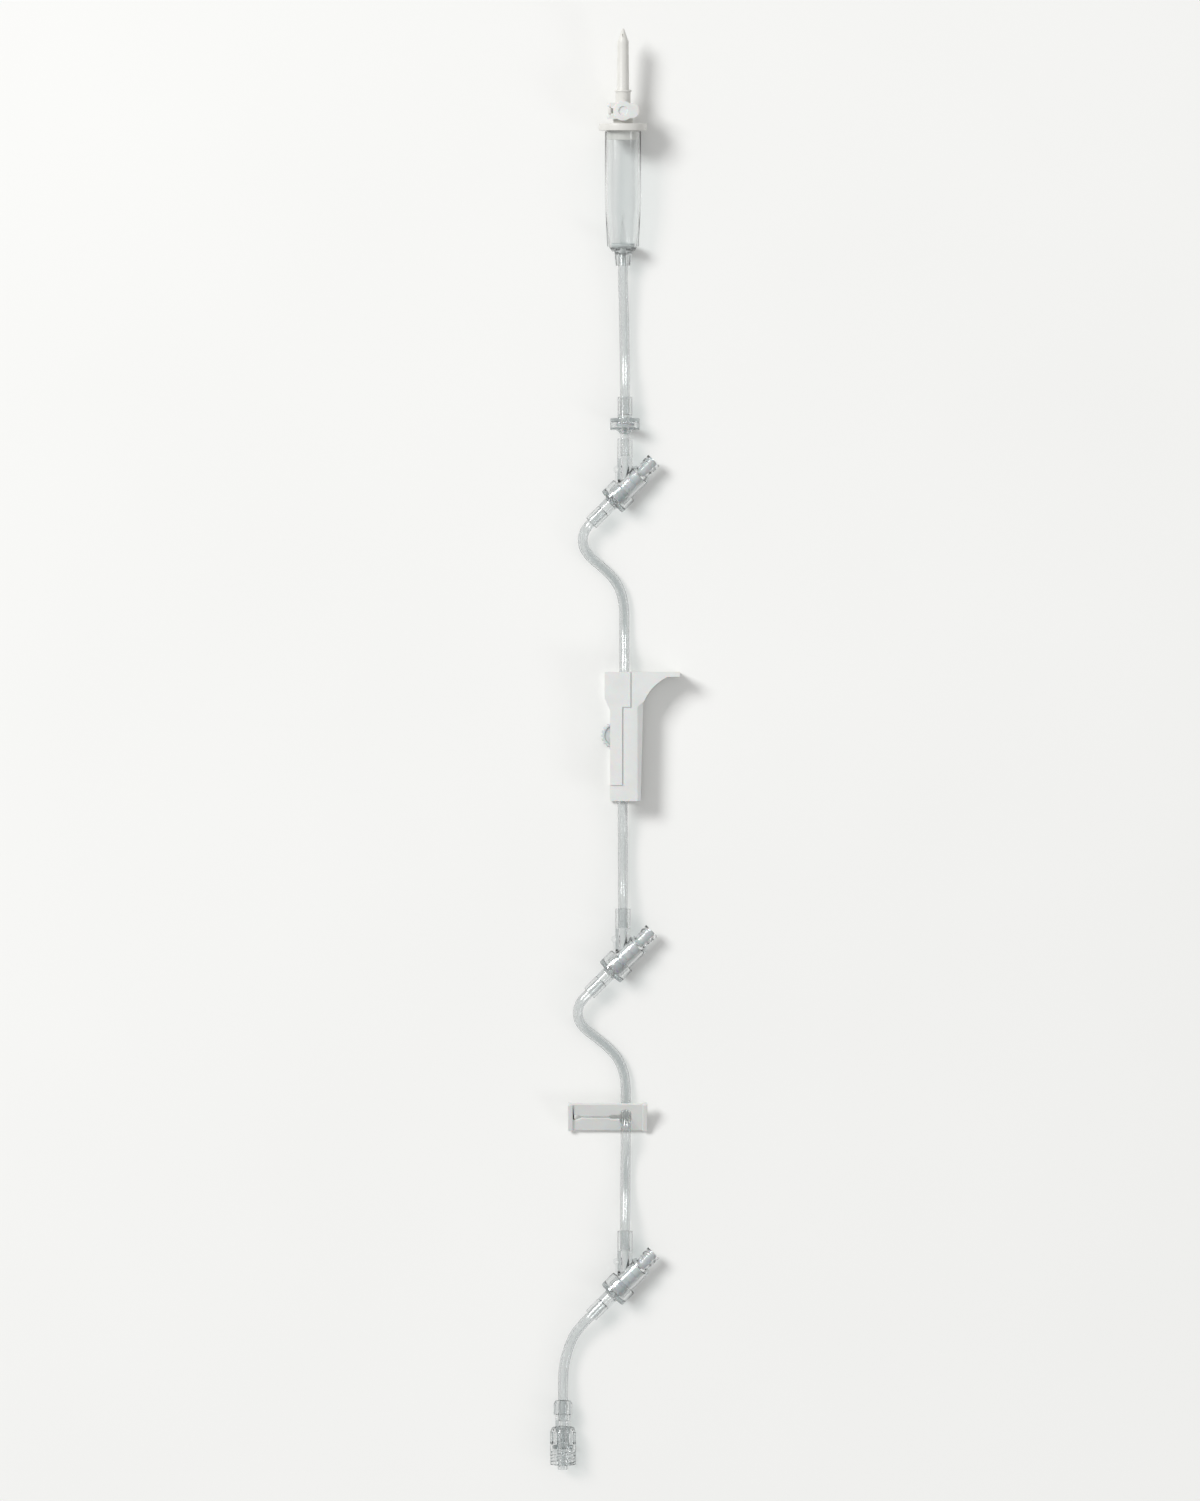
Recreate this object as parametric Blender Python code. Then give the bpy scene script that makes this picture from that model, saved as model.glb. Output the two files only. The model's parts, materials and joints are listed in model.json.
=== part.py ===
"""An IV infusion set lying flat on a table.

+Y runs up the set from the luer to the spike, +X is to the right seen from above and +Z is up.
The origin is on the table, under the middle of the box around the rigid pieces.
Each rigid piece sits in the frame of an empty whose Z is the piece's own axis, pointing upstream.
"""

import math

import bmesh
import bpy
from mathutils import Vector

MM = 0.001

# Clearances
FIT_GAP = 0.3 * MM        # between bonded, seated or sliding neighbours
PIVOT_GAP = 0.25 * MM     # round the vent cap's hinge rod
SOFT_GAP = 0.35 * MM      # round the silicone pistons

# Tubing
TUBE_OD = 3.9 * MM
TABLE_CLEARANCE = 0.05 * MM
TUBE_LIE = TUBE_OD / 2 + TABLE_CLEARANCE
SOCKET_R = TUBE_OD / 2 + FIT_GAP
LONGEST_STEP = 9.0 * MM
TURN_STEP = math.radians(12)

# Spike, its shoulder and the cap of the drip chamber
SPIKE_TIP_R = 0.35 * MM
SPIKE_TOP_R = 2.25 * MM
SPIKE_R = 2.4 * MM
SPIKE_TIP_LENGTH = 5.2 * MM
SPIKE_LENGTH = 19.2 * MM
SHOULDER_R = 3.4 * MM
SHOULDER_THICK = 0.8 * MM
COLLAR_R = 3.0 * MM
COLLAR_LENGTH = 4.4 * MM
HOUSING_LENGTH = 8.2 * MM
FLANGE_R = 9.6 * MM
FLANGE_THICK = 2.8 * MM
FLANGE_CHAMFER = 0.4 * MM
PLUG_DEPTH = 3.8 * MM
PLUG_WALL = 0.9 * MM
DROPPER_R = 1.9 * MM
DROPPER_LENGTH = 3.2 * MM
FLUID_BORE_R = 0.8 * MM
FLUID_BORE_OFFSET = 0.5 * MM
AIR_BORE_R = 0.4 * MM
AIR_BORE_OFFSET = 1.2 * MM
FLUID_MOUTH_BACK = 1.6 * MM
AIR_MOUTH_BACK = 2.2 * MM

# Air vent on the side of the spike
VENT_R = 4.0 * MM
VENT_TOP = 4.6 * MM
VENT_BOTTOM = 3.4 * MM
VENT_FOOT_DEPTH = 3.5 * MM
VENT_TO_FLANGE = 5.0 * MM
VENT_FOOT_HALF = 3.85 * MM
VENT_SEAT_DEPTH = 1.7 * MM
VENT_SEAT_R = 2.75 * MM
VENT_BORE_R = 1.6 * MM
VENT_FILTER_THICK = 0.5 * MM
CAP_THICK = 1.3 * MM
CAP_TAB_REACH = 6.4 * MM
CAP_TAB_HALF = 3.0 * MM
CAP_TAB_CORNER = 1.6 * MM
CAP_DISH_R = 2.0 * MM
CAP_DISH_DEPTH = 0.5 * MM
CAP_PLUG_WALL = 0.7 * MM
HINGE_OUT = 5.3 * MM
HINGE_ROD_R = 0.4 * MM
HINGE_KNUCKLE_R = 0.95 * MM
HINGE_LUG_R = 0.8 * MM
HINGE_LUG_HALF = 1.2 * MM
HINGE_WEB_HALF = 1.0 * MM
HINGE_ARM_RISE = 0.15 * MM
HINGE_ARM_WIDTH = 1.6 * MM
HINGE_ARM_THICK = 0.8 * MM
HINGE_SIDE_GAP = 0.4 * MM

# Drip chamber, measured up from the mouth of its outlet
CHAMBER_R = 7.2 * MM
CHAMBER_FOOT_R = 5.8 * MM
CHAMBER_WALL = 0.7 * MM
CHAMBER_STRAIGHT = 29.0 * MM
CHAMBER_TAPER = 17.2 * MM
CHAMBER_BASE = 2.0 * MM
CHAMBER_BASE_R = 4.4 * MM
CHAMBER_FLOOR = 1.7 * MM
OUTLET_LENGTH = 5.6 * MM
OUTLET_MOUTH_R = 2.9 * MM
OUTLET_TOP_R = 3.45 * MM
OUTLET_SOCKET = 4.6 * MM
OUTLET_BORE_R = 1.3 * MM
FUNNEL_R = 3.4 * MM
RIB_COUNT = 4
RIB_FOOT_R = 6.25 * MM
RIB_FOOT_WIDTH = 2.0 * MM
RIB_TOP_WIDTH = 0.3 * MM
FLUID_FILTER_THICK = 1.2 * MM

# Check valve, measured up from the top of the first port's leg
VALVE_R = 5.9 * MM
VALVE_NECK_R = 1.7 * MM
VALVE_NECK = 1.84 * MM
VALVE_STUB = 7.0 * MM
VALVE_CONE = 1.6 * MM
VALVE_CONE_R = 3.4 * MM
VALVE_DISC = 4.6 * MM
VALVE_PARTING = 3.0 * MM
VALVE_CAVITY_R = 4.0 * MM
VALVE_CAVITY_FLOOR = 0.8 * MM
VALVE_BORE_R = 1.1 * MM
VALVE_POST_R = 0.45 * MM
VALVE_POST_RING = 2.5 * MM
VALVE_POST_HEIGHT = 0.5 * MM
VALVE_POSTS = 4
VALVE_POST_TURN = 0.02
VALVE_SEAT_R = 2.1 * MM
VALVE_SEAT_HEIGHT = 0.3 * MM
VALVE_SLEEVE = 8.6 * MM
VALVE_SLEEVE_R = 2.9 * MM
VALVE_SOCKET = 7.2 * MM
DIAPHRAGM_THICK = 0.5 * MM
DIAPHRAGM_LIFT = 0.3 * MM
DIAPHRAGM_REST = 0.25 * MM

# Needle-free Y port, measured along the barrel from where the leg's axis meets it
PORT_ANGLE = math.radians(45)
LEG_R = 3.0 * MM
LEG_LENGTH = 20.3 * MM
LEG_SOCKET = 8.0 * MM
PORT_BORE_R = 1.2 * MM
BARREL_R = 4.35 * MM
BARREL_WALL = 0.95 * MM
BARREL_TOP = 8.6 * MM
BARREL_FOOT = 4.6 * MM
LUER_BASE = 10.0 * MM
LUER_TOP = 16.3 * MM
LUER_SHOULDER_R = 3.4 * MM
LUER_ROOT_R = 2.75 * MM
LUER_CREST_R = 3.2 * MM
LUER_LUG_HEIGHT = 1.0 * MM
LUER_MOUTH_R = 2.1 * MM
LUER_THROAT_R = 2.0 * MM
BASE_R = 5.9 * MM
BASE_TOP = 0.5 * MM
BASE_BOTTOM = 7.5 * MM
BASE_FLOOR = 1.6 * MM
BASE_CHAMFER = 0.5 * MM
SLEEVE_R = 2.85 * MM
SLEEVE_LENGTH = 11.6 * MM
SLEEVE_SOCKET = 7.0 * MM
CROSS_WIDTH = 1.2 * MM
CROSS_DEPTH = 0.6 * MM
EYELET_R = 1.45 * MM
EYELET_HOLE_R = 0.6 * MM
EYELET_THICK = 1.6 * MM
EYELET_OUT = 3.2 * MM
EYELET_UP = 8.0 * MM
EYELET_WEB = 1.2 * MM
EYELET_WEB_FOOT = 3.5 * MM
SEAL_R = 2.3 * MM
SEAL_FOLD_DEPTH = 0.4 * MM
SEAL_FOLDS = 3
SEAL_FOOT_R = 3.0 * MM
SEAL_FOOT_THICK = 0.7 * MM
SEAL_RECESS = 0.1 * MM

# Roller clamp, measured from the lower left corner of its side, Z from its middle plane
CLAMP_LENGTH = 51.6 * MM
CLAMP_FOOT_WIDTH = 12.2 * MM
CLAMP_HEAD_WIDTH = 13.2 * MM
CLAMP_HEAD_OUT = 2.2 * MM
CLAMP_HEAD_LENGTH = 10.4 * MM
CLAMP_HEAD_SLOPE = 4.8 * MM
HOOK_START = 38.8 * MM
HOOK_REACH = 27.88 * MM
HOOK_CURVE_END = 23.0 * MM
HOOK_CURVE_R = 18.6 * MM
HOOK_LIP = 2.0 * MM
CHANNEL_WALL = 1.4 * MM
FLOOR_WALL = 1.3 * MM
FLOOR_FOOT = 7.5 * MM
FLOOR_PINCH = 8.1 * MM
FLOOR_PINCH_UP = 8.0 * MM
FLOOR_OPEN_UP = 22.0 * MM
PANEL_RAISE = 0.6 * MM
PANEL_WIDTH = 4.8 * MM
PANEL_HEAD_WIDTH = 8.1 * MM
PANEL_FOOT = 6.4 * MM
PANEL_HEAD_FOOT = 37.6 * MM
TRACK_DEPTH = 1.2 * MM
ROLLER_R = 5.5 * MM
ROLLER_OUT = 3.6 * MM
ROLLER_WIDTH = 7.9 * MM
ROLLER_UP = 26.2 * MM
ROLLER_TEETH = 20
ROLLER_TOOTH = 0.3 * MM
AXLE_R = 1.0 * MM
AXLE_LENGTH = 1.0 * MM
ROLLER_OPEN = 9.0 * MM
ROLLER_CLOSE = 17.5 * MM

# Slide clamp, measured from the middle of its round hole
SLIDE_LEFT = 23.1 * MM
SLIDE_RIGHT = 8.64 * MM
SLIDE_WIDTH = 12.2 * MM
SLIDE_THICK = 1.2 * MM
SLIDE_RIM_THICK = 2.4 * MM
SLIDE_RIM_WIDTH = 1.9 * MM
SLIDE_CORNER = 0.8 * MM
SLIDE_TILT = math.radians(28)
HOLE_STRETCH = 1.3 * MM
HOLE_GAP = 0.35 * MM
SLOT_WIDE = 1.1 * MM
SLOT_PINCH = 0.3 * MM
SLOT_PINCH_END = 17.6 * MM
SLOT_PINCH_START = 7.0 * MM
SLOT_FLARE = 1.3 * MM
SLOT_END = 21.0 * MM
SLIDE_TRAVEL = 12.0 * MM

# Male luer end, measured up from the tip of the luer
LUER_TIP_R = 2.1 * MM
LUER_CONE_R = 2.3 * MM
LUER_CONE = 7.5 * MM
LUER_BORE_R = 1.2 * MM
HUB_DISC_R = 4.2 * MM
HUB_DISC_FOOT = 8.4 * MM
HUB_DISC_THICK = 1.2 * MM
HUB_SLEEVE_R = 3.05 * MM
BELL_R = 3.7 * MM
BELL_FOOT = 21.9 * MM
BELL_TOP = 27.6 * MM
BELL_CHAMFER = 1.2 * MM
BELL_MOUTH_R = 2.9 * MM
BELL_SOCKET = 8.1 * MM
LOCK_R = 5.12 * MM
LOCK_FOOT = 1.88 * MM
LOCK_TOP = 16.96 * MM
LOCK_TOP_WALL = 1.0 * MM
LOCK_CHAMFER = 1.8 * MM
LOCK_SHOULDER_R = 4.3 * MM
LOCK_THREAD_R = 3.9 * MM
LOCK_NECK_R = 3.7 * MM
LOCK_RIBS = 14
LOCK_RIB_DEPTH = 0.35 * MM
LOCK_RIB_FOOT = 10.4 * MM
LOCK_RIB_TOP = 15.0 * MM

# Where the rigid pieces lie, seen from above
OUTLET_PLACE = Vector((3.2 * MM, 193.72 * MM))
PORT_PLACES = [
    Vector((3.98 * MM, 104.18 * MM)),
    Vector((3.16 * MM, -83.86 * MM)),
    Vector((4.0 * MM, -212.78 * MM)),
]
CLAMP_PLACE = Vector((-1.96 * MM, -20.52 * MM))
SLIDE_PLACE = Vector((4.3 * MM, -146.9 * MM))
LUER_PLACE = Vector((-20.8 * MM, -287.88 * MM))

# Free stretches of tube between one fitting and the next, points chosen by hand
FIRST_STRETCH = [
    (3.4, 181.0, 4.55),
    (3.7, 168.0, 3.55),
    (3.9, 155.0, 4.1),
]
SECOND_STRETCH = [
    (-12.24, 87.03, 5.3),
    (-12.9, 83.74, 4.8),
    (-12.24, 80.45, 4.3),
    (-10.38, 77.66, 3.75),
    (-5.1, 73.0, 2.8),
    (-0.6, 68.4, 2.2),
    (2.2, 63.4, 2.04),
    (3.5, 57.5, 2.04),
    (3.72, 50.0, 2.15),
    (3.72, 43.0, 3.2),
    (3.72, 36.0, 5.3),
]
THIRD_STRETCH = [
    (3.08, -27.0, 5.4),
    (3.1, -35.0, 4.05),
    (3.13, -43.0, 3.8),
    (3.15, -51.0, 4.35),
]
FOURTH_STRETCH = [
    (-12.39, -99.41, 5.78),
    (-14.21, -102.14, 5.4),
    (-14.85, -105.35, 4.9),
    (-14.21, -108.56, 4.35),
    (-12.39, -111.29, 3.75),
    (-7.4, -115.3, 2.75),
    (-2.6, -119.4, 2.2),
    (1.4, -124.3, 2.06),
    (3.6, -130.0, 2.02),
    (4.25, -135.6, 2.02),
    (4.3, -139.2, 2.06),
    (4.3, -141.9, 2.25),
    (4.3, -144.4, 2.8),
    (4.3, -146.9, 4.0),
    (4.3, -149.3, 5.1),
    (4.3, -152.3, 5.6),
    (4.3, -155.4, 5.15),
    (4.28, -159.0, 3.85),
    (4.25, -163.2, 2.55),
    (4.2, -167.0, 2.12),
    (4.15, -173.0, 2.1),
    (4.1, -179.0, 3.1),
    (4.05, -185.0, 4.85),
]
LAST_STRETCH = [
    (-12.4, -229.3, 5.2),
    (-16.1, -234.0, 4.3),
    (-18.9, -240.4, 3.75),
    (-20.5, -247.6, 3.7),
    (-20.8, -254.0, 4.5),
]


def material(name, colour, roughness, metallic=0.0):
    made = bpy.data.materials.new(name)
    made.use_nodes = True
    shader = made.node_tree.nodes["Principled BSDF"]
    shader.inputs["Base Color"].default_value = (*colour, 1.0)
    shader.inputs["Roughness"].default_value = roughness
    shader.inputs["Metallic"].default_value = metallic
    made.diffuse_color = (*colour, 1.0)
    return made


CLEAR_PVC = material("clear_pvc", (0.86, 0.90, 0.92), 0.15)
CLEAR_ACRYLIC = material("clear_acrylic", (0.80, 0.86, 0.90), 0.10)
WHITE_ABS = material("white_abs", (0.90, 0.90, 0.88), 0.35)
WHITE_POLYETHYLENE = material("white_polyethylene", (0.93, 0.93, 0.92), 0.45)
SILICONE = material("silicone", (0.78, 0.80, 0.82), 0.55)
MEMBRANE = material("membrane", (0.96, 0.96, 0.95), 0.90)
MESH_FILTER = material("mesh_filter", (0.82, 0.84, 0.84), 0.70)


def frame(name, parent=None, location=(0, 0, 0), rotation=(0, 0, 0)):
    """An empty that carries pieces: its Z is their axis."""
    empty = bpy.data.objects.new(name, None)
    empty.empty_display_size = 5 * MM
    empty.parent = parent
    empty.location = location
    empty.rotation_euler = rotation
    bpy.context.collection.objects.link(empty)
    return empty


def finished(name, mesh_data, parent, location, rotation, look, smooth=False):
    """Turn bmesh data into an object with its faces pointing out."""
    bmesh.ops.recalc_face_normals(mesh_data, faces=mesh_data.faces)
    mesh = bpy.data.meshes.new(name)
    mesh_data.to_mesh(mesh)
    mesh_data.free()
    if smooth:
        mesh.shade_smooth()
        mesh.set_sharp_from_angle(angle=math.radians(35))
    piece = bpy.data.objects.new(name, mesh)
    piece.parent = parent
    piece.location = location
    piece.rotation_euler = rotation
    bpy.context.collection.objects.link(piece)
    if look:
        mesh.materials.append(look)
    else:
        piece.hide_render = True
        piece.display_type = "WIRE"
    return piece


def turned(name, profile, parent, steps, look=None, location=(0, 0, 0), rotation=(0, 0, 0), ripple=None, shift=0):
    """Turn (radius, height) points round Z. A profile off the axis is a closed loop, or else it starts
    and ends on the axis. ripple gives a radius for a point's radius, height and step, and shift turns the
    whole ring by a share of a step."""
    data = bmesh.new()
    rings = []
    for radius, height in profile:
        if radius == 0:
            rings.append([data.verts.new((0, 0, height))])
            continue
        ring = []
        for step in range(steps):
            angle = 2 * math.pi * (step + shift) / steps
            reach = ripple(radius, height, step) if ripple else radius
            ring.append(data.verts.new((reach * math.cos(angle), reach * math.sin(angle), height)))
        rings.append(ring)
    closed = profile[0][0] > 0
    pairs = list(zip(rings, rings[1:] + rings[:1] if closed else rings[1:]))
    for lower, upper in pairs:
        level = math.isclose(lower[0].co.z, upper[0].co.z, abs_tol=MM / 1000)
        if level and len(lower) != len(upper):
            data.faces.new(max(lower, upper, key=len))
            continue
        for step in range(steps):
            following = (step + 1) % steps
            if len(lower) == 1:
                data.faces.new((lower[0], upper[step], upper[following]))
            elif len(upper) == 1:
                data.faces.new((lower[step], lower[following], upper[0]))
            else:
                data.faces.new((lower[step], lower[following], upper[following], upper[step]))
    unused = [corner for corner in data.verts if not corner.link_faces]
    bmesh.ops.delete(data, geom=unused)
    return finished(name, data, parent, location, rotation, look, True)


def extruded(name, outline, bottom, top, parent, look=None, location=(0, 0, 0), rotation=(0, 0, 0)):
    """Raise a flat outline in X and Y from one height to another."""
    data = bmesh.new()
    corners = [data.verts.new((x, y, bottom)) for x, y in outline]
    face = data.faces.new(corners)
    raised = bmesh.ops.extrude_face_region(data, geom=[face])
    lifted = [item for item in raised["geom"] if isinstance(item, bmesh.types.BMVert)]
    bmesh.ops.translate(data, verts=lifted, vec=(0, 0, top - bottom))
    return finished(name, data, parent, location, rotation, look)


def block(name, low, high, parent, look=None):
    outline = [(low[0], low[1]), (high[0], low[1]), (high[0], high[1]), (low[0], high[1])]
    return extruded(name, outline, low[2], high[2], parent, look)


def rod(name, radius, bottom, top, parent, steps, location=(0, 0, 0), rotation=(0, 0, 0)):
    """A helper cylinder, turned half a step so that its edges cross other pieces' edges cleanly."""
    profile = [(0, bottom), (radius, bottom), (radius, top), (0, top)]
    return turned(name, profile, parent, steps, location=location, rotation=rotation, shift=0.5)


def combine(piece, operation, *others):
    """Add one exact Boolean to the piece for each helper solid."""
    for other in others:
        step = piece.modifiers.new(other.name, "BOOLEAN")
        step.operation = operation
        step.solver = "EXACT"
        step.object = other


def arc(centre, radius, first, last, steps):
    """Points on an arc, its two ends included."""
    points = []
    for step in range(steps + 1):
        angle = first + (last - first) * step / steps
        points.append((centre[0] + radius * math.cos(angle), centre[1] + radius * math.sin(angle)))
    return points


def arc_between(start, end, radius, steps):
    """Points on an arc of the given radius from start to end, with its centre to the right of the way."""
    start = Vector(start)
    end = Vector(end)
    way = end - start
    across = Vector((way.y, -way.x)).normalized()
    centre = (start + end) / 2 + across * math.sqrt(radius**2 - (way.length / 2) ** 2)
    first = math.atan2(start.y - centre.y, start.x - centre.x)
    last = math.atan2(end.y - centre.y, end.x - centre.x)
    if last > first:
        last -= 2 * math.pi
    return arc(centre, radius, first, last, steps)


def along(carrier, height, side=0.0):
    """World place of a point on a frame's axis, or beside it along X."""
    return carrier.matrix_world @ Vector((side, 0, height))


def smooth_route(points, parts=12):
    """A cubic curve through the points, with its direction at each one taken from its two neighbours."""
    steps = [after - before for before, after in zip(points, points[1:])]
    tangents = [steps[0].normalized()]
    for before, after in zip(steps, steps[1:]):
        mixed = before.normalized() * after.length + after.normalized() * before.length
        tangents.append(mixed.normalized())
    tangents.append(steps[-1].normalized())
    route = [points[0]]
    for index in range(len(points) - 1):
        start, end = points[index], points[index + 1]
        span = (end - start).length
        for part in range(1, parts + 1):
            t = part / parts
            place = start * (2 * t**3 - 3 * t**2 + 1) + end * (3 * t**2 - 2 * t**3)
            place += tangents[index] * span * (t**3 - 2 * t**2 + t)
            place += tangents[index + 1] * span * (t**3 - t**2)
            route.append(place)
    return route


def thinned(route):
    """Keep a point where the route has turned enough or run far enough since the last one kept."""
    kept = [route[0]]
    heading = (route[1] - route[0]).normalized()
    run = 0.0
    for before, here, after in zip(route, route[1:], route[2:]):
        run += (here - before).length
        direction = (after - here).normalized()
        if run >= LONGEST_STEP or direction.angle(heading) >= TURN_STEP:
            kept.append(here)
            heading = direction
            run = 0.0
    kept.append(route[-1])
    return kept


def tube(name, points):
    """A round tube along a smooth curve through the points."""
    curve = bpy.data.curves.new(name, "CURVE")
    curve.dimensions = "3D"
    curve.bevel_depth = TUBE_OD / 2
    curve.bevel_resolution = 2
    curve.resolution_u = 1
    curve.render_resolution_u = 0
    curve.use_fill_caps = True
    route = thinned(smooth_route(points))
    spline = curve.splines.new("POLY")
    spline.points.add(len(route) - 1)
    for point, place in zip(spline.points, route):
        point.co = (*place, 1.0)
    curve.materials.append(CLEAR_PVC)
    piece = bpy.data.objects.new(name, curve)
    bpy.context.collection.objects.link(piece)
    return piece


def by_hand(stretch):
    return [Vector(point) * MM for point in stretch]


# Stations of the drip chamber and of the spike above it, from the outlet's mouth
FOOT_STATION = OUTLET_LENGTH + CHAMBER_BASE
TAPER_STATION = FOOT_STATION + CHAMBER_TAPER
FLANGE_STATION = TAPER_STATION + CHAMBER_STRAIGHT
CHAMBER_TOP = FLANGE_STATION - FIT_GAP
HOUSING_STATION = FLANGE_STATION + FLANGE_THICK
VENT_STATION = HOUSING_STATION + VENT_TO_FLANGE
COLLAR_STATION = HOUSING_STATION + HOUSING_LENGTH
SHOULDER_STATION = COLLAR_STATION + COLLAR_LENGTH
SHAFT_STATION = SHOULDER_STATION + SHOULDER_THICK
SHAFT_TOP = SHAFT_STATION + SPIKE_LENGTH
TIP_STATION = SHAFT_TOP + SPIKE_TIP_LENGTH
SEAT_STATION = OUTLET_LENGTH + CHAMBER_FLOOR
CHAMBER_BORE_R = CHAMBER_R - CHAMBER_WALL

# The spike and chamber rest on the flange's lower rim and on the foot of a rib
LEAN = math.atan2(FLANGE_R - RIB_FOOT_R, FLANGE_STATION + FLANGE_CHAMFER - FOOT_STATION)
OUTLET_HEIGHT = RIB_FOOT_R * math.cos(LEAN) - FOOT_STATION * math.sin(LEAN)


def make_spike_cap(axis, vent):
    plug_r = CHAMBER_BORE_R - FIT_GAP
    profile = [
        (0, FLANGE_STATION - DROPPER_LENGTH),
        (DROPPER_R, FLANGE_STATION - DROPPER_LENGTH),
        (DROPPER_R, FLANGE_STATION),
        (plug_r - PLUG_WALL, FLANGE_STATION),
        (plug_r - PLUG_WALL, FLANGE_STATION - PLUG_DEPTH),
        (plug_r, FLANGE_STATION - PLUG_DEPTH),
        (plug_r, FLANGE_STATION),
        (FLANGE_R - FLANGE_CHAMFER, FLANGE_STATION),
        (FLANGE_R, FLANGE_STATION + FLANGE_CHAMFER),
        (FLANGE_R, HOUSING_STATION - FLANGE_CHAMFER),
        (FLANGE_R - FLANGE_CHAMFER, HOUSING_STATION),
        (COLLAR_R, HOUSING_STATION),
        (COLLAR_R, SHOULDER_STATION),
        (SHOULDER_R, SHOULDER_STATION),
        (SHOULDER_R, SHAFT_STATION),
        (SPIKE_R, SHAFT_STATION),
        (SPIKE_TOP_R, SHAFT_TOP),
        (SPIKE_TIP_R, TIP_STATION),
        (0, TIP_STATION),
    ]
    piece = turned("spike_cap", profile, axis, 28, WHITE_ABS)
    boss = rod("vent_boss", VENT_R, -VENT_BOTTOM, VENT_TOP, vent, 28)
    foot = block(
        "vent_foot",
        (-VENT_FOOT_HALF, -VENT_TO_FLANGE - FLANGE_CHAMFER, -VENT_FOOT_DEPTH),
        (VENT_FOOT_HALF, -VENT_R / 2, VENT_FOOT_DEPTH),
        vent,
    )
    web_top = VENT_TOP - FIT_GAP
    web = block(
        "hinge_web",
        (HINGE_LUG_R / 2 - HINGE_OUT, -HINGE_WEB_HALF, web_top - HINGE_LUG_R),
        (VENT_SEAT_R / 4 - VENT_R, HINGE_WEB_HALF, web_top),
        vent,
    )
    rod_half = HINGE_LUG_HALF + HINGE_SIDE_GAP + HINGE_ARM_WIDTH
    hinge = turned(
        "hinge_rod",
        [
            (0, -rod_half),
            (HINGE_ROD_R, -rod_half),
            (HINGE_ROD_R, -HINGE_LUG_HALF),
            (HINGE_LUG_R, -HINGE_LUG_HALF),
            (HINGE_LUG_R, HINGE_LUG_HALF),
            (HINGE_ROD_R, HINGE_LUG_HALF),
            (HINGE_ROD_R, rod_half),
            (0, rod_half),
        ],
        vent,
        12,
        location=(-HINGE_OUT, 0, HINGE_HEIGHT),
        rotation=(math.radians(90), 0, 0),
    )
    combine(piece, "UNION", boss, foot, web, hinge)
    seat_top = VENT_TOP - VENT_SEAT_DEPTH
    vent_bores = turned(
        "vent_bores",
        [
            (0, AIR_BORE_OFFSET - AIR_BORE_R / 2),
            (VENT_BORE_R, AIR_BORE_OFFSET - AIR_BORE_R / 2),
            (VENT_BORE_R, seat_top),
            (VENT_SEAT_R, seat_top),
            (VENT_SEAT_R, VENT_TOP + FIT_GAP),
            (0, VENT_TOP + FIT_GAP),
        ],
        vent,
        24,
        shift=0.5,
    )
    fluid_bore = rod(
        "fluid_bore",
        FLUID_BORE_R,
        FLANGE_STATION - DROPPER_LENGTH - FIT_GAP,
        TIP_STATION - FLUID_MOUTH_BACK,
        axis,
        16,
        location=(0, FLUID_BORE_OFFSET, 0),
    )
    air_bore = rod(
        "air_bore",
        AIR_BORE_R,
        VENT_STATION - VENT_BORE_R / 2,
        TIP_STATION - AIR_MOUTH_BACK,
        axis,
        12,
        location=(0, -AIR_BORE_OFFSET, 0),
    )
    combine(piece, "DIFFERENCE", vent_bores, fluid_bore, air_bore)


# The vent cap turns on the rod at the height of the joint between cap and boss
HINGE_HEIGHT = VENT_TOP + FIT_GAP / 2
CAP_BOTTOM = VENT_TOP + FIT_GAP
CAP_TOP = CAP_BOTTOM + CAP_THICK
VENT_FILTER_BOTTOM = VENT_TOP - VENT_SEAT_DEPTH + FIT_GAP
VENT_FILTER_TOP = VENT_FILTER_BOTTOM + VENT_FILTER_THICK


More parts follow.
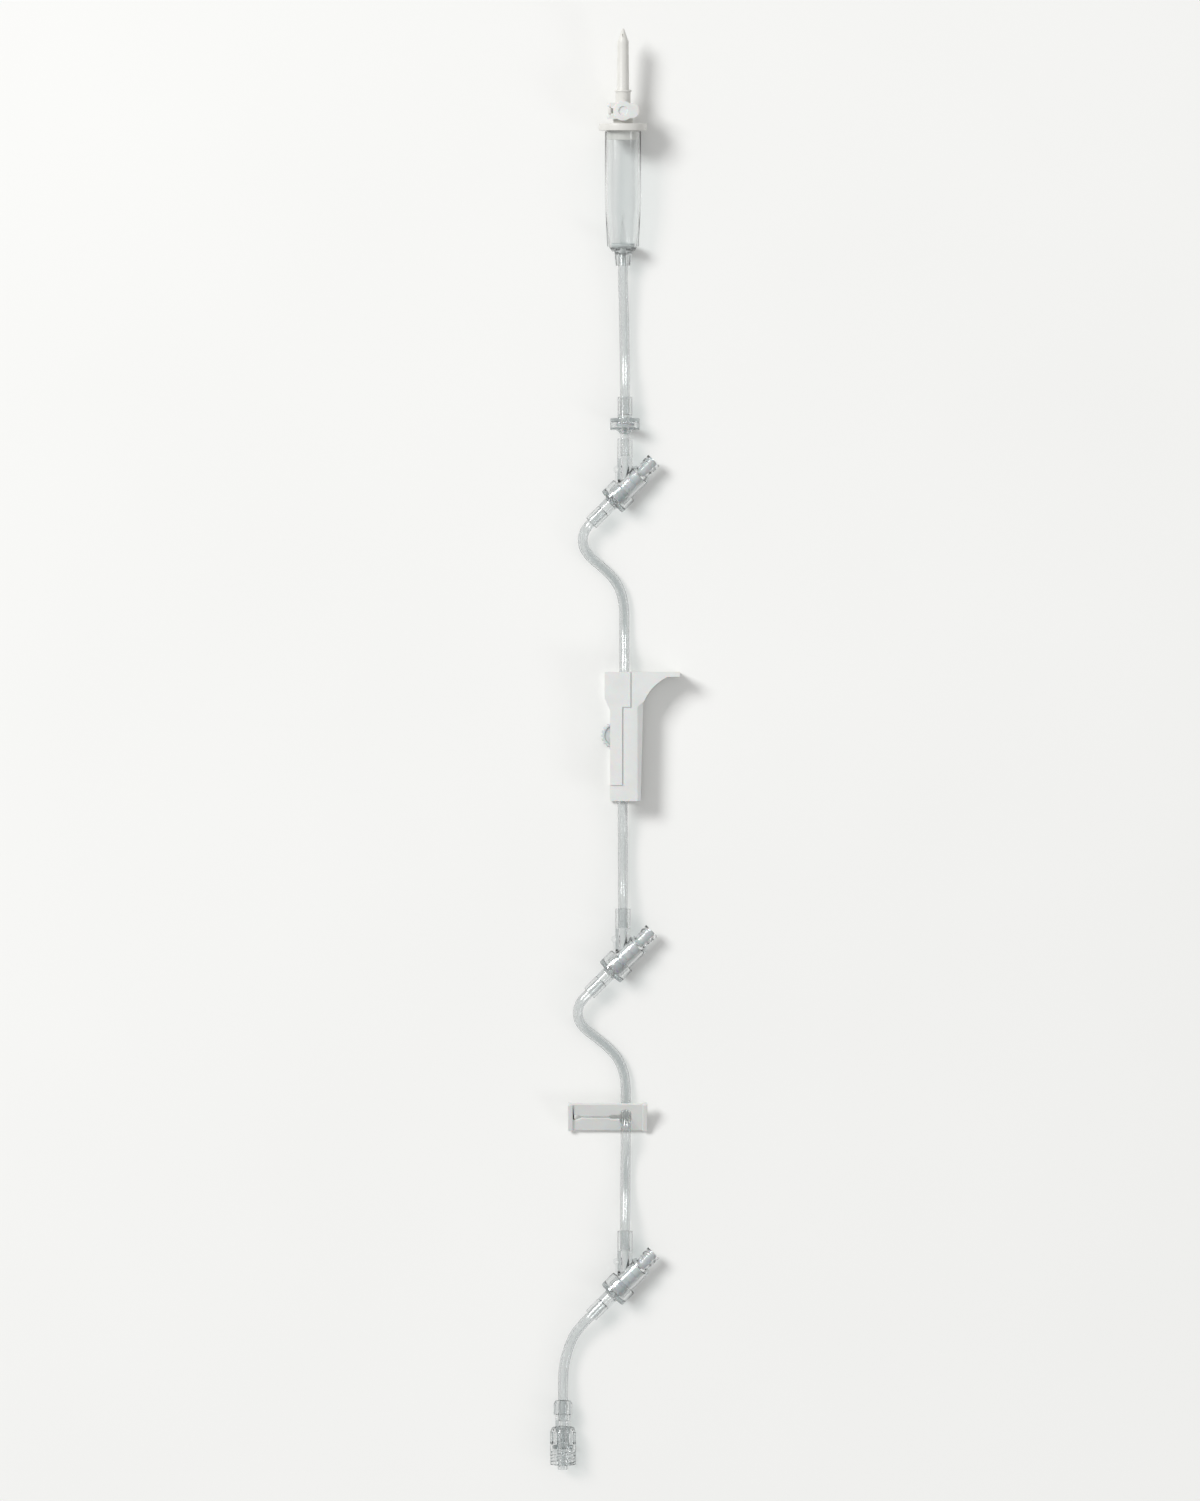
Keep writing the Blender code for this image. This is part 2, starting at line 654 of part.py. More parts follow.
def make_vent_cap(hinge):
    """The cap is built in the hinge's frame, so that it turns about its own origin."""
    tab_start = math.asin(CAP_TAB_HALF / VENT_R)
    corner_x = CAP_TAB_REACH - CAP_TAB_CORNER
    corner_y = CAP_TAB_HALF - CAP_TAB_CORNER
    quarter = math.pi / 2
    outline = arc((0, 0), VENT_R, tab_start, 2 * math.pi - tab_start, 22)
    outline += arc((corner_x, -corner_y), CAP_TAB_CORNER, -quarter, 0, 4)
    outline += arc((corner_x, corner_y), CAP_TAB_CORNER, 0, quarter, 4)
    to_vent = (HINGE_OUT, 0, -HINGE_HEIGHT)
    piece = extruded("vent_cap", outline, CAP_BOTTOM, CAP_TOP, hinge, WHITE_POLYETHYLENE, to_vent)
    plug_r = VENT_SEAT_R - FIT_GAP
    plug_foot = VENT_FILTER_TOP + FIT_GAP
    plug = turned(
        "cap_plug",
        [
            (plug_r - CAP_PLUG_WALL, plug_foot),
            (plug_r, plug_foot),
            (plug_r, CAP_BOTTOM + FIT_GAP),
            (plug_r - CAP_PLUG_WALL, CAP_BOTTOM + FIT_GAP),
        ],
        hinge,
        24,
        location=to_vent,
        shift=0.5,
    )
    combine(piece, "UNION", plug)
    dish = rod("cap_dish", CAP_DISH_R, CAP_TOP - CAP_DISH_DEPTH, CAP_TOP + FIT_GAP, hinge, 24, to_vent)
    inner = HINGE_LUG_HALF + HINGE_SIDE_GAP
    outer = inner + HINGE_ARM_WIDTH
    along_y = (math.radians(90), 0, 0)
    arm_foot = CAP_BOTTOM - HINGE_HEIGHT
    for side in (-1, 1):
        low, high = sorted((side * inner, side * outer))
        arm = block(
            f"cap_arm_{side}",
            (0, low, arm_foot + HINGE_ARM_RISE),
            (HINGE_OUT - VENT_R / 2, high, arm_foot + HINGE_ARM_RISE + HINGE_ARM_THICK),
            hinge,
        )
        knuckle = rod(f"cap_knuckle_{side}", HINGE_KNUCKLE_R, -high, -low, hinge, 16, rotation=along_y)
        combine(piece, "UNION", arm, knuckle)
    bore = rod("hinge_bore", HINGE_ROD_R + PIVOT_GAP, -2 * outer, 2 * outer, hinge, 12, rotation=along_y)
    combine(piece, "DIFFERENCE", dish, bore)


def make_vent_filter(vent):
    radius = VENT_SEAT_R - FIT_GAP
    profile = [(0, VENT_FILTER_BOTTOM), (radius, VENT_FILTER_BOTTOM), (radius, VENT_FILTER_TOP), (0, VENT_FILTER_TOP)]
    turned("vent_filter", profile, vent, 24, MEMBRANE)


def make_drip_chamber(axis):
    foot_bore_r = CHAMBER_FOOT_R - CHAMBER_WALL
    profile = [
        (OUTLET_MOUTH_R, 0),
        (OUTLET_TOP_R, OUTLET_LENGTH),
        (CHAMBER_BASE_R, OUTLET_LENGTH),
        (CHAMBER_FOOT_R, FOOT_STATION),
        (CHAMBER_R, TAPER_STATION),
        (CHAMBER_R, CHAMBER_TOP),
        (CHAMBER_BORE_R, CHAMBER_TOP),
        (CHAMBER_BORE_R, TAPER_STATION),
        (foot_bore_r, SEAT_STATION),
        (FUNNEL_R, SEAT_STATION),
        (OUTLET_BORE_R, OUTLET_LENGTH),
        (OUTLET_BORE_R, OUTLET_SOCKET),
        (SOCKET_R, OUTLET_SOCKET),
        (SOCKET_R, 0),
    ]
    piece = turned("drip_chamber", profile, axis, 32, CLEAR_ACRYLIC)
    for index in range(RIB_COUNT):
        turn = 2 * math.pi * index / RIB_COUNT
        combine(piece, "UNION", chamber_rib(f"chamber_rib_{index}", axis, turn))


def chamber_rib(name, axis, turn):
    """A wedge, wide and proud at the chamber's foot, thin and flush at the top of the taper."""
    data = bmesh.new()
    ends = []
    foot = (CHAMBER_FOOT_R - CHAMBER_WALL / 2, RIB_FOOT_R, RIB_FOOT_WIDTH / 2, FOOT_STATION)
    top = (CHAMBER_R - CHAMBER_WALL / 2, CHAMBER_R - CHAMBER_WALL / 10, RIB_TOP_WIDTH / 2, TAPER_STATION)
    for inner, outer, half, height in (foot, top):
        corners = [(inner, -half), (outer, -half), (outer, half), (inner, half)]
        ends.append([data.verts.new((x, y, height)) for x, y in corners])
    data.faces.new(ends[0])
    data.faces.new(ends[1])
    for index in range(4):
        following = (index + 1) % 4
        data.faces.new((ends[0][index], ends[0][following], ends[1][following], ends[1][index]))
    return finished(name, data, axis, (0, 0, 0), (0, 0, turn), None)


def make_fluid_filter(axis):
    bottom = SEAT_STATION + FIT_GAP
    top = bottom + FLUID_FILTER_THICK
    radius = CHAMBER_FOOT_R - CHAMBER_WALL - FIT_GAP
    rim = radius - FIT_GAP
    profile = [(0, bottom), (rim, bottom), (radius, bottom + FIT_GAP), (radius, top), (0, top)]
    turned("fluid_filter", profile, axis, 24, MESH_FILTER)


# Heights in the check valve, from the top of the first port's leg
DISC_FOOT = VALVE_NECK + VALVE_CONE
DISC_TOP = DISC_FOOT + VALVE_DISC
PARTING = DISC_FOOT + VALVE_PARTING
CAVITY_FLOOR = DISC_FOOT + VALVE_CAVITY_FLOOR
SLEEVE_TOP = DISC_TOP + VALVE_SLEEVE
POST_TOP = CAVITY_FLOOR + VALVE_POST_HEIGHT
DIAPHRAGM_BOTTOM = POST_TOP + DIAPHRAGM_LIFT + FIT_GAP / 6
DIAPHRAGM_TOP = DIAPHRAGM_BOTTOM + DIAPHRAGM_THICK
SEAT_FACE = DIAPHRAGM_TOP + DIAPHRAGM_REST


def make_check_valve(leg_top):
    outlet = turned(
        "check_valve_outlet",
        [
            (VALVE_NECK_R, -VALVE_STUB),
            (VALVE_NECK_R, VALVE_NECK),
            (VALVE_CONE_R, DISC_FOOT),
            (VALVE_R, DISC_FOOT),
            (VALVE_R, PARTING),
            (VALVE_CAVITY_R, PARTING),
            (VALVE_CAVITY_R, CAVITY_FLOOR),
            (VALVE_BORE_R, CAVITY_FLOOR),
            (VALVE_BORE_R, -VALVE_STUB),
        ],
        leg_top,
        24,
        CLEAR_ACRYLIC,
    )
    for index in range(VALVE_POSTS):
        turn = 2 * math.pi * (index / VALVE_POSTS + VALVE_POST_TURN)
        place = (VALVE_POST_RING * math.cos(turn), VALVE_POST_RING * math.sin(turn), 0)
        post = rod(f"valve_post_{index}", VALVE_POST_R, CAVITY_FLOOR - FIT_GAP, POST_TOP, leg_top, 8, place)
        combine(outlet, "UNION", post)
    boss_r = VALVE_CAVITY_R - FIT_GAP
    boss_foot = SEAT_FACE + VALVE_SEAT_HEIGHT
    socket_foot = SLEEVE_TOP - VALVE_SOCKET
    turned(
        "check_valve_inlet",
        [
            (VALVE_BORE_R, SEAT_FACE),
            (VALVE_SEAT_R, SEAT_FACE),
            (VALVE_SEAT_R, boss_foot),
            (boss_r, boss_foot),
            (boss_r, PARTING + FIT_GAP),
            (VALVE_R, PARTING + FIT_GAP),
            (VALVE_R, DISC_TOP),
            (VALVE_SLEEVE_R, DISC_TOP),
            (VALVE_SLEEVE_R, SLEEVE_TOP),
            (SOCKET_R, SLEEVE_TOP),
            (SOCKET_R, socket_foot),
            (VALVE_BORE_R, socket_foot),
        ],
        leg_top,
        24,
        CLEAR_ACRYLIC,
    )
    disc_r = VALVE_CAVITY_R - FIT_GAP
    profile = [
        (0, DIAPHRAGM_BOTTOM),
        (disc_r, DIAPHRAGM_BOTTOM),
        (disc_r, DIAPHRAGM_TOP),
        (0, DIAPHRAGM_TOP),
    ]
    turned("check_valve_diaphragm", profile, leg_top, 24, SILICONE)


# Heights in a port, along its barrel
BARREL_BORE_R = BARREL_R - BARREL_WALL
CUP_FLOOR = -BASE_BOTTOM + BASE_FLOOR
SEAL_FOOT = CUP_FLOOR + FIT_GAP
SEAL_FOOT_TOP = SEAL_FOOT + SEAL_FOOT_THICK
BORE_SHOULDER = BARREL_TOP - BARREL_WALL
THROAT_FOOT = BORE_SHOULDER + (BARREL_BORE_R - LUER_THROAT_R)
SEAL_NECK_R = LUER_THROAT_R - SOFT_GAP
SEAL_SHOULDER = BORE_SHOULDER - SOFT_GAP
SLEEVE_MOUTH = -BASE_BOTTOM - SLEEVE_LENGTH


def make_port_body(name, barrel, leg):
    lug_foot = LUER_TOP - LUER_LUG_HEIGHT
    piece = turned(
        name,
        [
            (0, -BARREL_FOOT),
            (BARREL_R, -BARREL_FOOT),
            (BARREL_R, BARREL_TOP),
            (LUER_SHOULDER_R, LUER_BASE),
            (LUER_ROOT_R, LUER_BASE),
            (LUER_ROOT_R, lug_foot - LUER_LUG_HEIGHT / 2),
            (LUER_CREST_R, lug_foot),
            (LUER_CREST_R, LUER_TOP),
            (0, LUER_TOP),
        ],
        barrel,
        24,
        CLEAR_ACRYLIC,
    )
    side = rod(f"{name}_leg", LEG_R, 0, LEG_LENGTH, leg, 20)
    eyelet_place = (-EYELET_OUT, 0, EYELET_UP)
    across = (math.radians(90), 0, 0)
    half = EYELET_THICK / 2
    eyelet = rod(f"{name}_eyelet", EYELET_R, -half, half, leg, 14, eyelet_place, across)
    web = block(
        f"{name}_web",
        (-EYELET_OUT - EYELET_WEB / 2, -EYELET_WEB / 2, EYELET_WEB_FOOT),
        (-EYELET_OUT + EYELET_WEB, EYELET_WEB / 2, EYELET_UP - EYELET_R / 2),
        leg,
    )
    combine(piece, "UNION", side, eyelet, web)
    cavity = turned(
        f"{name}_cavity",
        [
            (0, -BARREL_FOOT - FIT_GAP),
            (BARREL_BORE_R, -BARREL_FOOT - FIT_GAP),
            (BARREL_BORE_R, BORE_SHOULDER),
            (LUER_THROAT_R, THROAT_FOOT),
            (LUER_MOUTH_R, LUER_TOP + FIT_GAP),
            (0, LUER_TOP + FIT_GAP),
        ],
        barrel,
        20,
        shift=0.5,
    )
    bore = turned(
        f"{name}_bore",
        [
            (0, 0),
            (PORT_BORE_R, 0),
            (PORT_BORE_R, LEG_LENGTH - LEG_SOCKET),
            (SOCKET_R, LEG_LENGTH - LEG_SOCKET),
            (SOCKET_R, LEG_LENGTH + FIT_GAP),
            (0, LEG_LENGTH + FIT_GAP),
        ],
        leg,
        16,
        shift=0.5,
    )
    hole = rod(f"{name}_eye", EYELET_HOLE_R, -EYELET_THICK, EYELET_THICK, leg, 10, eyelet_place, across)
    combine(piece, "DIFFERENCE", cavity, bore, hole)


def make_port_base(name, barrel):
    cup_r = BARREL_R + FIT_GAP
    socket_foot = SLEEVE_MOUTH + SLEEVE_SOCKET
    piece = turned(
        name,
        [
            (SLEEVE_R, SLEEVE_MOUTH),
            (SLEEVE_R, -BASE_BOTTOM),
            (BASE_R - BASE_CHAMFER, -BASE_BOTTOM),
            (BASE_R, -BASE_BOTTOM + BASE_CHAMFER),
            (BASE_R, -BASE_TOP - BASE_CHAMFER),
            (BASE_R - BASE_CHAMFER, -BASE_TOP),
            (cup_r, -BASE_TOP),
            (cup_r, CUP_FLOOR),
            (PORT_BORE_R, CUP_FLOOR),
            (PORT_BORE_R, socket_foot),
            (SOCKET_R, socket_foot),
            (SOCKET_R, SLEEVE_MOUTH),
        ],
        barrel,
        24,
        CLEAR_ACRYLIC,
    )
    reach = BARREL_BORE_R
    half = CROSS_WIDTH / 2
    floor = CUP_FLOOR - CROSS_DEPTH
    lengthways = block(f"{name}_groove_x", (-reach, -half, floor), (reach, half, CUP_FLOOR + FIT_GAP), barrel)
    crossways = block(f"{name}_groove_y", (-half, -reach, floor), (half, reach, CUP_FLOOR + FIT_GAP), barrel)
    combine(piece, "DIFFERENCE", lengthways, crossways)


def make_port_seal(name, barrel):
    """The piston's folds let it shorten when a luer pushes its top in."""
    folds = []
    pitch = (SEAL_SHOULDER - SEAL_FOOT_TOP) / (SEAL_FOLDS + 1)
    for index in range(SEAL_FOLDS):
        middle = SEAL_FOOT_TOP + pitch * (index + 1)
        folds.append((SEAL_R, middle - SEAL_FOLD_DEPTH))
        folds.append((SEAL_R - SEAL_FOLD_DEPTH, middle))
        folds.append((SEAL_R, middle + SEAL_FOLD_DEPTH))
    top = LUER_TOP - SEAL_RECESS
    profile = [(0, SEAL_FOOT), (SEAL_FOOT_R, SEAL_FOOT), (SEAL_FOOT_R, SEAL_FOOT_TOP), (SEAL_R, SEAL_FOOT_TOP)]
    profile += folds
    profile += [(SEAL_R, SEAL_SHOULDER), (SEAL_NECK_R, THROAT_FOOT - SOFT_GAP), (SEAL_NECK_R, top), (0, top)]
    turned(name, profile, barrel, 16, SILICONE)


ROLLER_CENTRE = Vector((ROLLER_R - ROLLER_OUT, ROLLER_UP))
CHANNEL_HALF = ROLLER_WIDTH / 2 + FIT_GAP
SIDE_HALF = CHANNEL_HALF + CHANNEL_WALL
PANEL_HALF = SIDE_HALF + PANEL_RAISE
TUBE_AT_ROLLER = ROLLER_OUT * -1 + 2 * ROLLER_R + FIT_GAP + TUBE_OD / 2
FLOOR_OPEN = TUBE_AT_ROLLER + TUBE_OD / 2 + FIT_GAP


def clamp_curve(inset):
    """The concave outer curve under the hook, or the chute's surface inside it."""
    start = (CLAMP_HEAD_WIDTH - inset, HOOK_START)
    end = (HOOK_CURVE_END - inset, CLAMP_LENGTH - HOOK_LIP + inset)
    return arc_between(start, end, HOOK_CURVE_R, 7)


def make_roller_clamp(clamp):
    shoulder = CLAMP_LENGTH - CLAMP_HEAD_LENGTH
    outline = [(0, 0), (CLAMP_FOOT_WIDTH, 0)]
    outline += clamp_curve(0)
    outline += [
        (HOOK_REACH, CLAMP_LENGTH - HOOK_LIP),
        (HOOK_REACH, CLAMP_LENGTH),
        (-CLAMP_HEAD_OUT, CLAMP_LENGTH),
        (-CLAMP_HEAD_OUT, shoulder),
        (0, shoulder - CLAMP_HEAD_SLOPE),
    ]
    piece = extruded("roller_clamp_body", outline, -SIDE_HALF, SIDE_HALF, clamp, WHITE_POLYETHYLENE)
    panel = [
        (0, PANEL_FOOT),
        (PANEL_WIDTH, PANEL_FOOT),
        (PANEL_WIDTH, PANEL_HEAD_FOOT),
        (PANEL_HEAD_WIDTH, PANEL_HEAD_FOOT),
        (PANEL_HEAD_WIDTH, CLAMP_LENGTH),
        (-CLAMP_HEAD_OUT, CLAMP_LENGTH),
        (-CLAMP_HEAD_OUT, shoulder),
        (0, shoulder - CLAMP_HEAD_SLOPE),
    ]
    combine(piece, "UNION", extruded("clamp_panels", panel, -PANEL_HALF, PANEL_HALF, clamp))
    past = CLAMP_HEAD_OUT * 2
    chute = clamp_curve(FLOOR_WALL)
    channel = [
        (-past, -past),
        (FLOOR_FOOT, -past),
        (FLOOR_FOOT, 0),
        (FLOOR_PINCH, FLOOR_PINCH_UP),
        (FLOOR_OPEN, FLOOR_OPEN_UP),
        *chute,
        (chute[-1][0], CLAMP_LENGTH + past),
        (-past, CLAMP_LENGTH + past),
    ]
    channel_cut = extruded("clamp_channel", channel, -CHANNEL_HALF, CHANNEL_HALF, clamp)
    axle_room = AXLE_R + FIT_GAP
    low = ROLLER_CENTRE.y - ROLLER_CLOSE
    high = ROLLER_CENTRE.y + ROLLER_OPEN
    groove = arc((ROLLER_CENTRE.x, high), axle_room, 0, math.pi, 6)
    groove += arc((ROLLER_CENTRE.x, low), axle_room, math.pi, 2 * math.pi, 6)
    groove_half = CHANNEL_HALF + TRACK_DEPTH
    groove_cut = extruded("clamp_tracks", groove, -groove_half, groove_half, clamp)
    combine(piece, "DIFFERENCE", channel_cut, groove_cut)


def make_roller(carrier):
    """The roller turns on the two pins at its ends, which run in the clamp's tracks."""
    half = ROLLER_WIDTH / 2
    bevel = ROLLER_TOOTH
    pin_end = half + AXLE_LENGTH
    root_r = ROLLER_R - ROLLER_TOOTH

    def teeth(radius, height, step):
        return radius if radius < ROLLER_R or step % 2 else root_r

    profile = [
        (0, -pin_end),
        (AXLE_R, -pin_end),
        (AXLE_R, -half),
        (root_r - bevel, -half),
        (ROLLER_R, -half + bevel * 2),
        (ROLLER_R, half - bevel * 2),
        (root_r - bevel, half),
        (AXLE_R, half),
        (AXLE_R, pin_end),
        (0, pin_end),
    ]
    turned("roller", profile, carrier, 2 * ROLLER_TEETH, WHITE_POLYETHYLENE, ripple=teeth)


def slide_slot():
    """Outline of the round hole and the pinch slot that leads away from it."""
    radius = TUBE_OD / 2 + HOLE_GAP
    upper = [
        (-SLOT_END, SLOT_WIDE / 2),
        (-SLOT_END + SLOT_WIDE / 2, SLOT_WIDE),
        (-SLOT_PINCH_END - SLOT_FLARE, SLOT_WIDE),
        (-SLOT_PINCH_END, SLOT_PINCH),
        (-SLOT_PINCH_START, SLOT_PINCH),
        (-SLOT_PINCH_START + SLOT_FLARE, SLOT_WIDE),
    ]
    join = math.pi - math.asin((SLOT_WIDE - HOLE_STRETCH) / radius)
    upper += arc((0, HOLE_STRETCH), radius, join, 0, 8)
    lower = [(x, -y) for x, y in reversed(upper)]
    return upper + lower


def make_slide_clamp(hole):
    half = SLIDE_THICK / 2
    rim = SLIDE_RIM_THICK / 2
    section = [
        (-SLIDE_LEFT, -rim),
        (-SLIDE_LEFT + SLIDE_RIM_WIDTH, -rim),
        (-SLIDE_LEFT + SLIDE_RIM_WIDTH, -half),
        (SLIDE_RIGHT - SLIDE_RIM_WIDTH, -half),
        (SLIDE_RIGHT - SLIDE_RIM_WIDTH, -rim),
        (SLIDE_RIGHT, -rim),
        (SLIDE_RIGHT, rim),
        (SLIDE_RIGHT - SLIDE_RIM_WIDTH, rim),
        (SLIDE_RIGHT - SLIDE_RIM_WIDTH, half),
        (-SLIDE_LEFT + SLIDE_RIM_WIDTH, half),
        (-SLIDE_LEFT + SLIDE_RIM_WIDTH, rim),
        (-SLIDE_LEFT, rim),
    ]
    on_edge = (math.radians(90), 0, 0)
    reach = SLIDE_WIDTH / 2
    piece = extruded("slide_clamp", section, -reach, reach, hole, WHITE_POLYETHYLENE, rotation=on_edge)
    slot = extruded("slide_slot", slide_slot(), -SLIDE_RIM_THICK, SLIDE_RIM_THICK, hole)
    combine(piece, "DIFFERENCE", slot)


def make_male_luer(axis):
    disc_top = HUB_DISC_FOOT + HUB_DISC_THICK
    socket_foot = BELL_TOP - BELL_SOCKET
    profile = [
        (LUER_BORE_R, 0),
        (LUER_TIP_R, 0),
        (LUER_CONE_R, LUER_CONE),
        (LUER_CONE_R, HUB_DISC_FOOT),
        (HUB_DISC_R, HUB_DISC_FOOT),
        (HUB_DISC_R, disc_top),
        (HUB_SLEEVE_R, disc_top),
        (HUB_SLEEVE_R, BELL_FOOT),
        (BELL_R, BELL_FOOT),
        (BELL_R, BELL_TOP - BELL_CHAMFER),
        (BELL_MOUTH_R, BELL_TOP),
        (SOCKET_R, BELL_TOP),
        (SOCKET_R, socket_foot),
        (LUER_BORE_R, socket_foot),
    ]
    turned("male_luer", profile, axis, 24, CLEAR_ACRYLIC)


def make_luer_collar(axis):
    """The collar is held by the hub's disc, which sits in a groove inside it."""
    groove_foot = HUB_DISC_FOOT - FIT_GAP
    groove_top = HUB_DISC_FOOT + HUB_DISC_THICK + FIT_GAP
    groove_r = HUB_DISC_R + FIT_GAP
    ceiling = LOCK_TOP - LOCK_TOP_WALL
    hole_r = HUB_SLEEVE_R + FIT_GAP
    rib_r = LOCK_R - LOCK_RIB_DEPTH

    def ribs(radius, height, step):
        ribbed = radius == LOCK_R and LOCK_RIB_FOOT < height < LOCK_RIB_TOP
        return rib_r if ribbed and step % 2 else radius

    run_out = LOCK_RIB_DEPTH
    profile = [
        (LOCK_THREAD_R, LOCK_FOOT),
        (LOCK_R, LOCK_FOOT),
        (LOCK_R, LOCK_RIB_FOOT),
        (LOCK_R, LOCK_RIB_FOOT + run_out),
        (LOCK_R, LOCK_RIB_TOP - run_out),
        (LOCK_R, LOCK_RIB_TOP),
        (LOCK_R, LOCK_TOP - LOCK_CHAMFER),
        (LOCK_SHOULDER_R, LOCK_TOP),
        (hole_r, LOCK_TOP),
        (hole_r, ceiling),
        (LOCK_NECK_R, ceiling),
        (LOCK_NECK_R, groove_top),
        (groove_r, groove_top),
        (groove_r, groove_foot),
        (LOCK_THREAD_R, groove_foot),
    ]
    turned("luer_collar", profile, axis, 2 * LOCK_RIBS, CLEAR_ACRYLIC, ripple=ribs)


for existing in list(bpy.data.objects):
    bpy.data.objects.remove(existing, do_unlink=True)

upright = math.radians(-90)

# Spike, vent and drip chamber
spike_axis = frame("spike_axis", None, (*OUTLET_PLACE, OUTLET_HEIGHT), (upright + LEAN, 0, 0))
vent_axis = frame("vent_axis", spike_axis, (0, 0, VENT_STATION), (-upright, 0, 0))
cap_hinge = frame("cap_hinge", vent_axis, (-HINGE_OUT, 0, HINGE_HEIGHT))
make_spike_cap(spike_axis, vent_axis)
make_vent_filter(vent_axis)
make_vent_cap(cap_hinge)
make_drip_chamber(spike_axis)
make_fluid_filter(spike_axis)

# Ports, with the check valve on the first one's leg
barrels = []
legs = []
for number, place in enumerate(PORT_PLACES, start=1):
    barrel_axis = frame(f"port_{number}_barrel", None, (*place, BASE_R), (upright, 0, -PORT_ANGLE))
    leg_axis = frame(f"port_{number}_leg", barrel_axis, (0, 0, 0), (0, -PORT_ANGLE, 0))
    make_port_body(f"port_{number}_body", barrel_axis, leg_axis)
    make_port_base(f"port_{number}_base", barrel_axis)
    make_port_seal(f"port_{number}_seal", barrel_axis)
    barrels.append(barrel_axis)
    legs.append(leg_axis)
valve_axis = frame("valve_axis", legs[0], (0, 0, LEG_LENGTH))
make_check_valve(valve_axis)

# Clamps
clamp_corner = frame("clamp_corner", None, (*CLAMP_PLACE, PANEL_HALF))
roller_axle = frame("roller_axle", clamp_corner, (*ROLLER_CENTRE, 0))
make_roller_clamp(clamp_corner)
make_roller(roller_axle)
slide_height = SLIDE_WIDTH / 2 * math.sin(SLIDE_TILT) + SLIDE_RIM_THICK / 2 * math.cos(SLIDE_TILT)
slide_hole = frame("slide_hole", None, (*SLIDE_PLACE, slide_height), (SLIDE_TILT, 0, 0))
make_slide_clamp(slide_hole)

# Male luer end
luer_axis = frame("luer_axis", None, (*LUER_PLACE, LOCK_R), (upright, 0, 0))
make_male_luer(luer_axis)
make_luer_collar(luer_axis)

# Tubes, each from socket to socket
bpy.context.view_layer.update()
lead = TUBE_OD
leg_socket_foot = LEG_LENGTH - LEG_SOCKET + FIT_GAP
sleeve_socket_foot = SLEEVE_MOUTH + SLEEVE_SOCKET - FIT_GAP


def into(carrier, deep, mouth, beyond):
    """Points on a socket's axis, from its depth out past its mouth."""
    return [along(carrier, deep), along(carrier, mouth), along(carrier, mouth + beyond)]


outlet_end = into(spike_axis, OUTLET_SOCKET - FIT_GAP, 0, -lead)
valve_end = into(valve_axis, SLEEVE_TOP - VALVE_SOCKET + FIT_GAP, SLEEVE_TOP, lead)
sleeve_ends = [into(carrier, sleeve_socket_foot, SLEEVE_MOUTH, -lead / 4) for carrier in barrels]
leg_ends = [into(carrier, leg_socket_foot, LEG_LENGTH, lead / 2) for carrier in legs]
luer_end = into(luer_axis, BELL_TOP - BELL_SOCKET + FIT_GAP, BELL_TOP, lead / 2)
clamp_x = CLAMP_PLACE.x
clamp_y = CLAMP_PLACE.y
in_clamp = [
    Vector((clamp_x + side * MM, clamp_y + up * MM, PANEL_HALF))
    for side, up in (
        (5.68, 51.6),
        (5.75, 46.0),
        (7.0, 38.4),
        (8.75, 32.6),
        (9.66, 28.2),
        (9.66, 24.2),
        (8.9, 20.6),
        (6.95, 14.2),
        (5.6, 7.6),
        (5.04, 0.0),
    )
]

tube("tube_chamber_to_valve", outlet_end + by_hand(FIRST_STRETCH) + valve_end[::-1])
tube(
    "tube_port_1_to_port_2",
    sleeve_ends[0] + by_hand(SECOND_STRETCH) + in_clamp + by_hand(THIRD_STRETCH) + leg_ends[1][::-1],
)
tube("tube_port_2_to_port_3", sleeve_ends[1] + by_hand(FOURTH_STRETCH) + leg_ends[2][::-1])
tube("tube_port_3_to_luer", sleeve_ends[2] + by_hand(LAST_STRETCH) + luer_end[::-1])
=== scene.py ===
import json
import math

import bmesh
import bpy
from mathutils import Matrix, Vector

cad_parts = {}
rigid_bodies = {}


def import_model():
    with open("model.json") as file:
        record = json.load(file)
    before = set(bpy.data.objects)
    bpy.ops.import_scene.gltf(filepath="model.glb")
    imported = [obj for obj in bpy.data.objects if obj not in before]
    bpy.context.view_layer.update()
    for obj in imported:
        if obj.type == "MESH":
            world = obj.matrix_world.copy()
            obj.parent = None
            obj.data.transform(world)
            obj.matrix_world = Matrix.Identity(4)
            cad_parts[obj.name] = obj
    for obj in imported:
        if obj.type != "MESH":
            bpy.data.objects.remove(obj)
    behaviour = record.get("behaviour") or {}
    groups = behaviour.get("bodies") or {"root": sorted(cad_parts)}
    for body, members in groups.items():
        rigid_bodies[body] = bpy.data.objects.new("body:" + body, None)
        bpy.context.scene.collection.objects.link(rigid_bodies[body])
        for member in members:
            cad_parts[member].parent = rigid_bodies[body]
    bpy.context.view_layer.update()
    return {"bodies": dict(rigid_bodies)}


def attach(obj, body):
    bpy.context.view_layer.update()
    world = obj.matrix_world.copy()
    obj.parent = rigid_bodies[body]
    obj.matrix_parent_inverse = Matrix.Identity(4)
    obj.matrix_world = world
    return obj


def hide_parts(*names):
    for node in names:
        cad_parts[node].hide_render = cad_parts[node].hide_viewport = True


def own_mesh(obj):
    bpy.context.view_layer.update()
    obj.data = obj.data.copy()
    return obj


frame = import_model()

# Table, daylight and camera
# The set lies on a smooth pale table top, as the drawing's plane, and is seen from straight above.
# A long lens keeps its upright sides from leaning outwards. Sizes in this script are in millimetres.
MM = 0.001
VIEW_HEIGHT = 600.4
VIEW_MIDDLE = Vector((-6.0, -0.3, 6.0))
CAMERA_DISTANCE = 3000.0
CAMERA_REACH = 20000.0
FILM_LENGTH = 36.0
TABLE_REACH = 6000.0
TABLE_DEPTH = 0.1
TABLE_DRIFT = 180.0
TABLE_GRAIN = 0.8
TABLE_GRAIN_DEPTH = 0.02
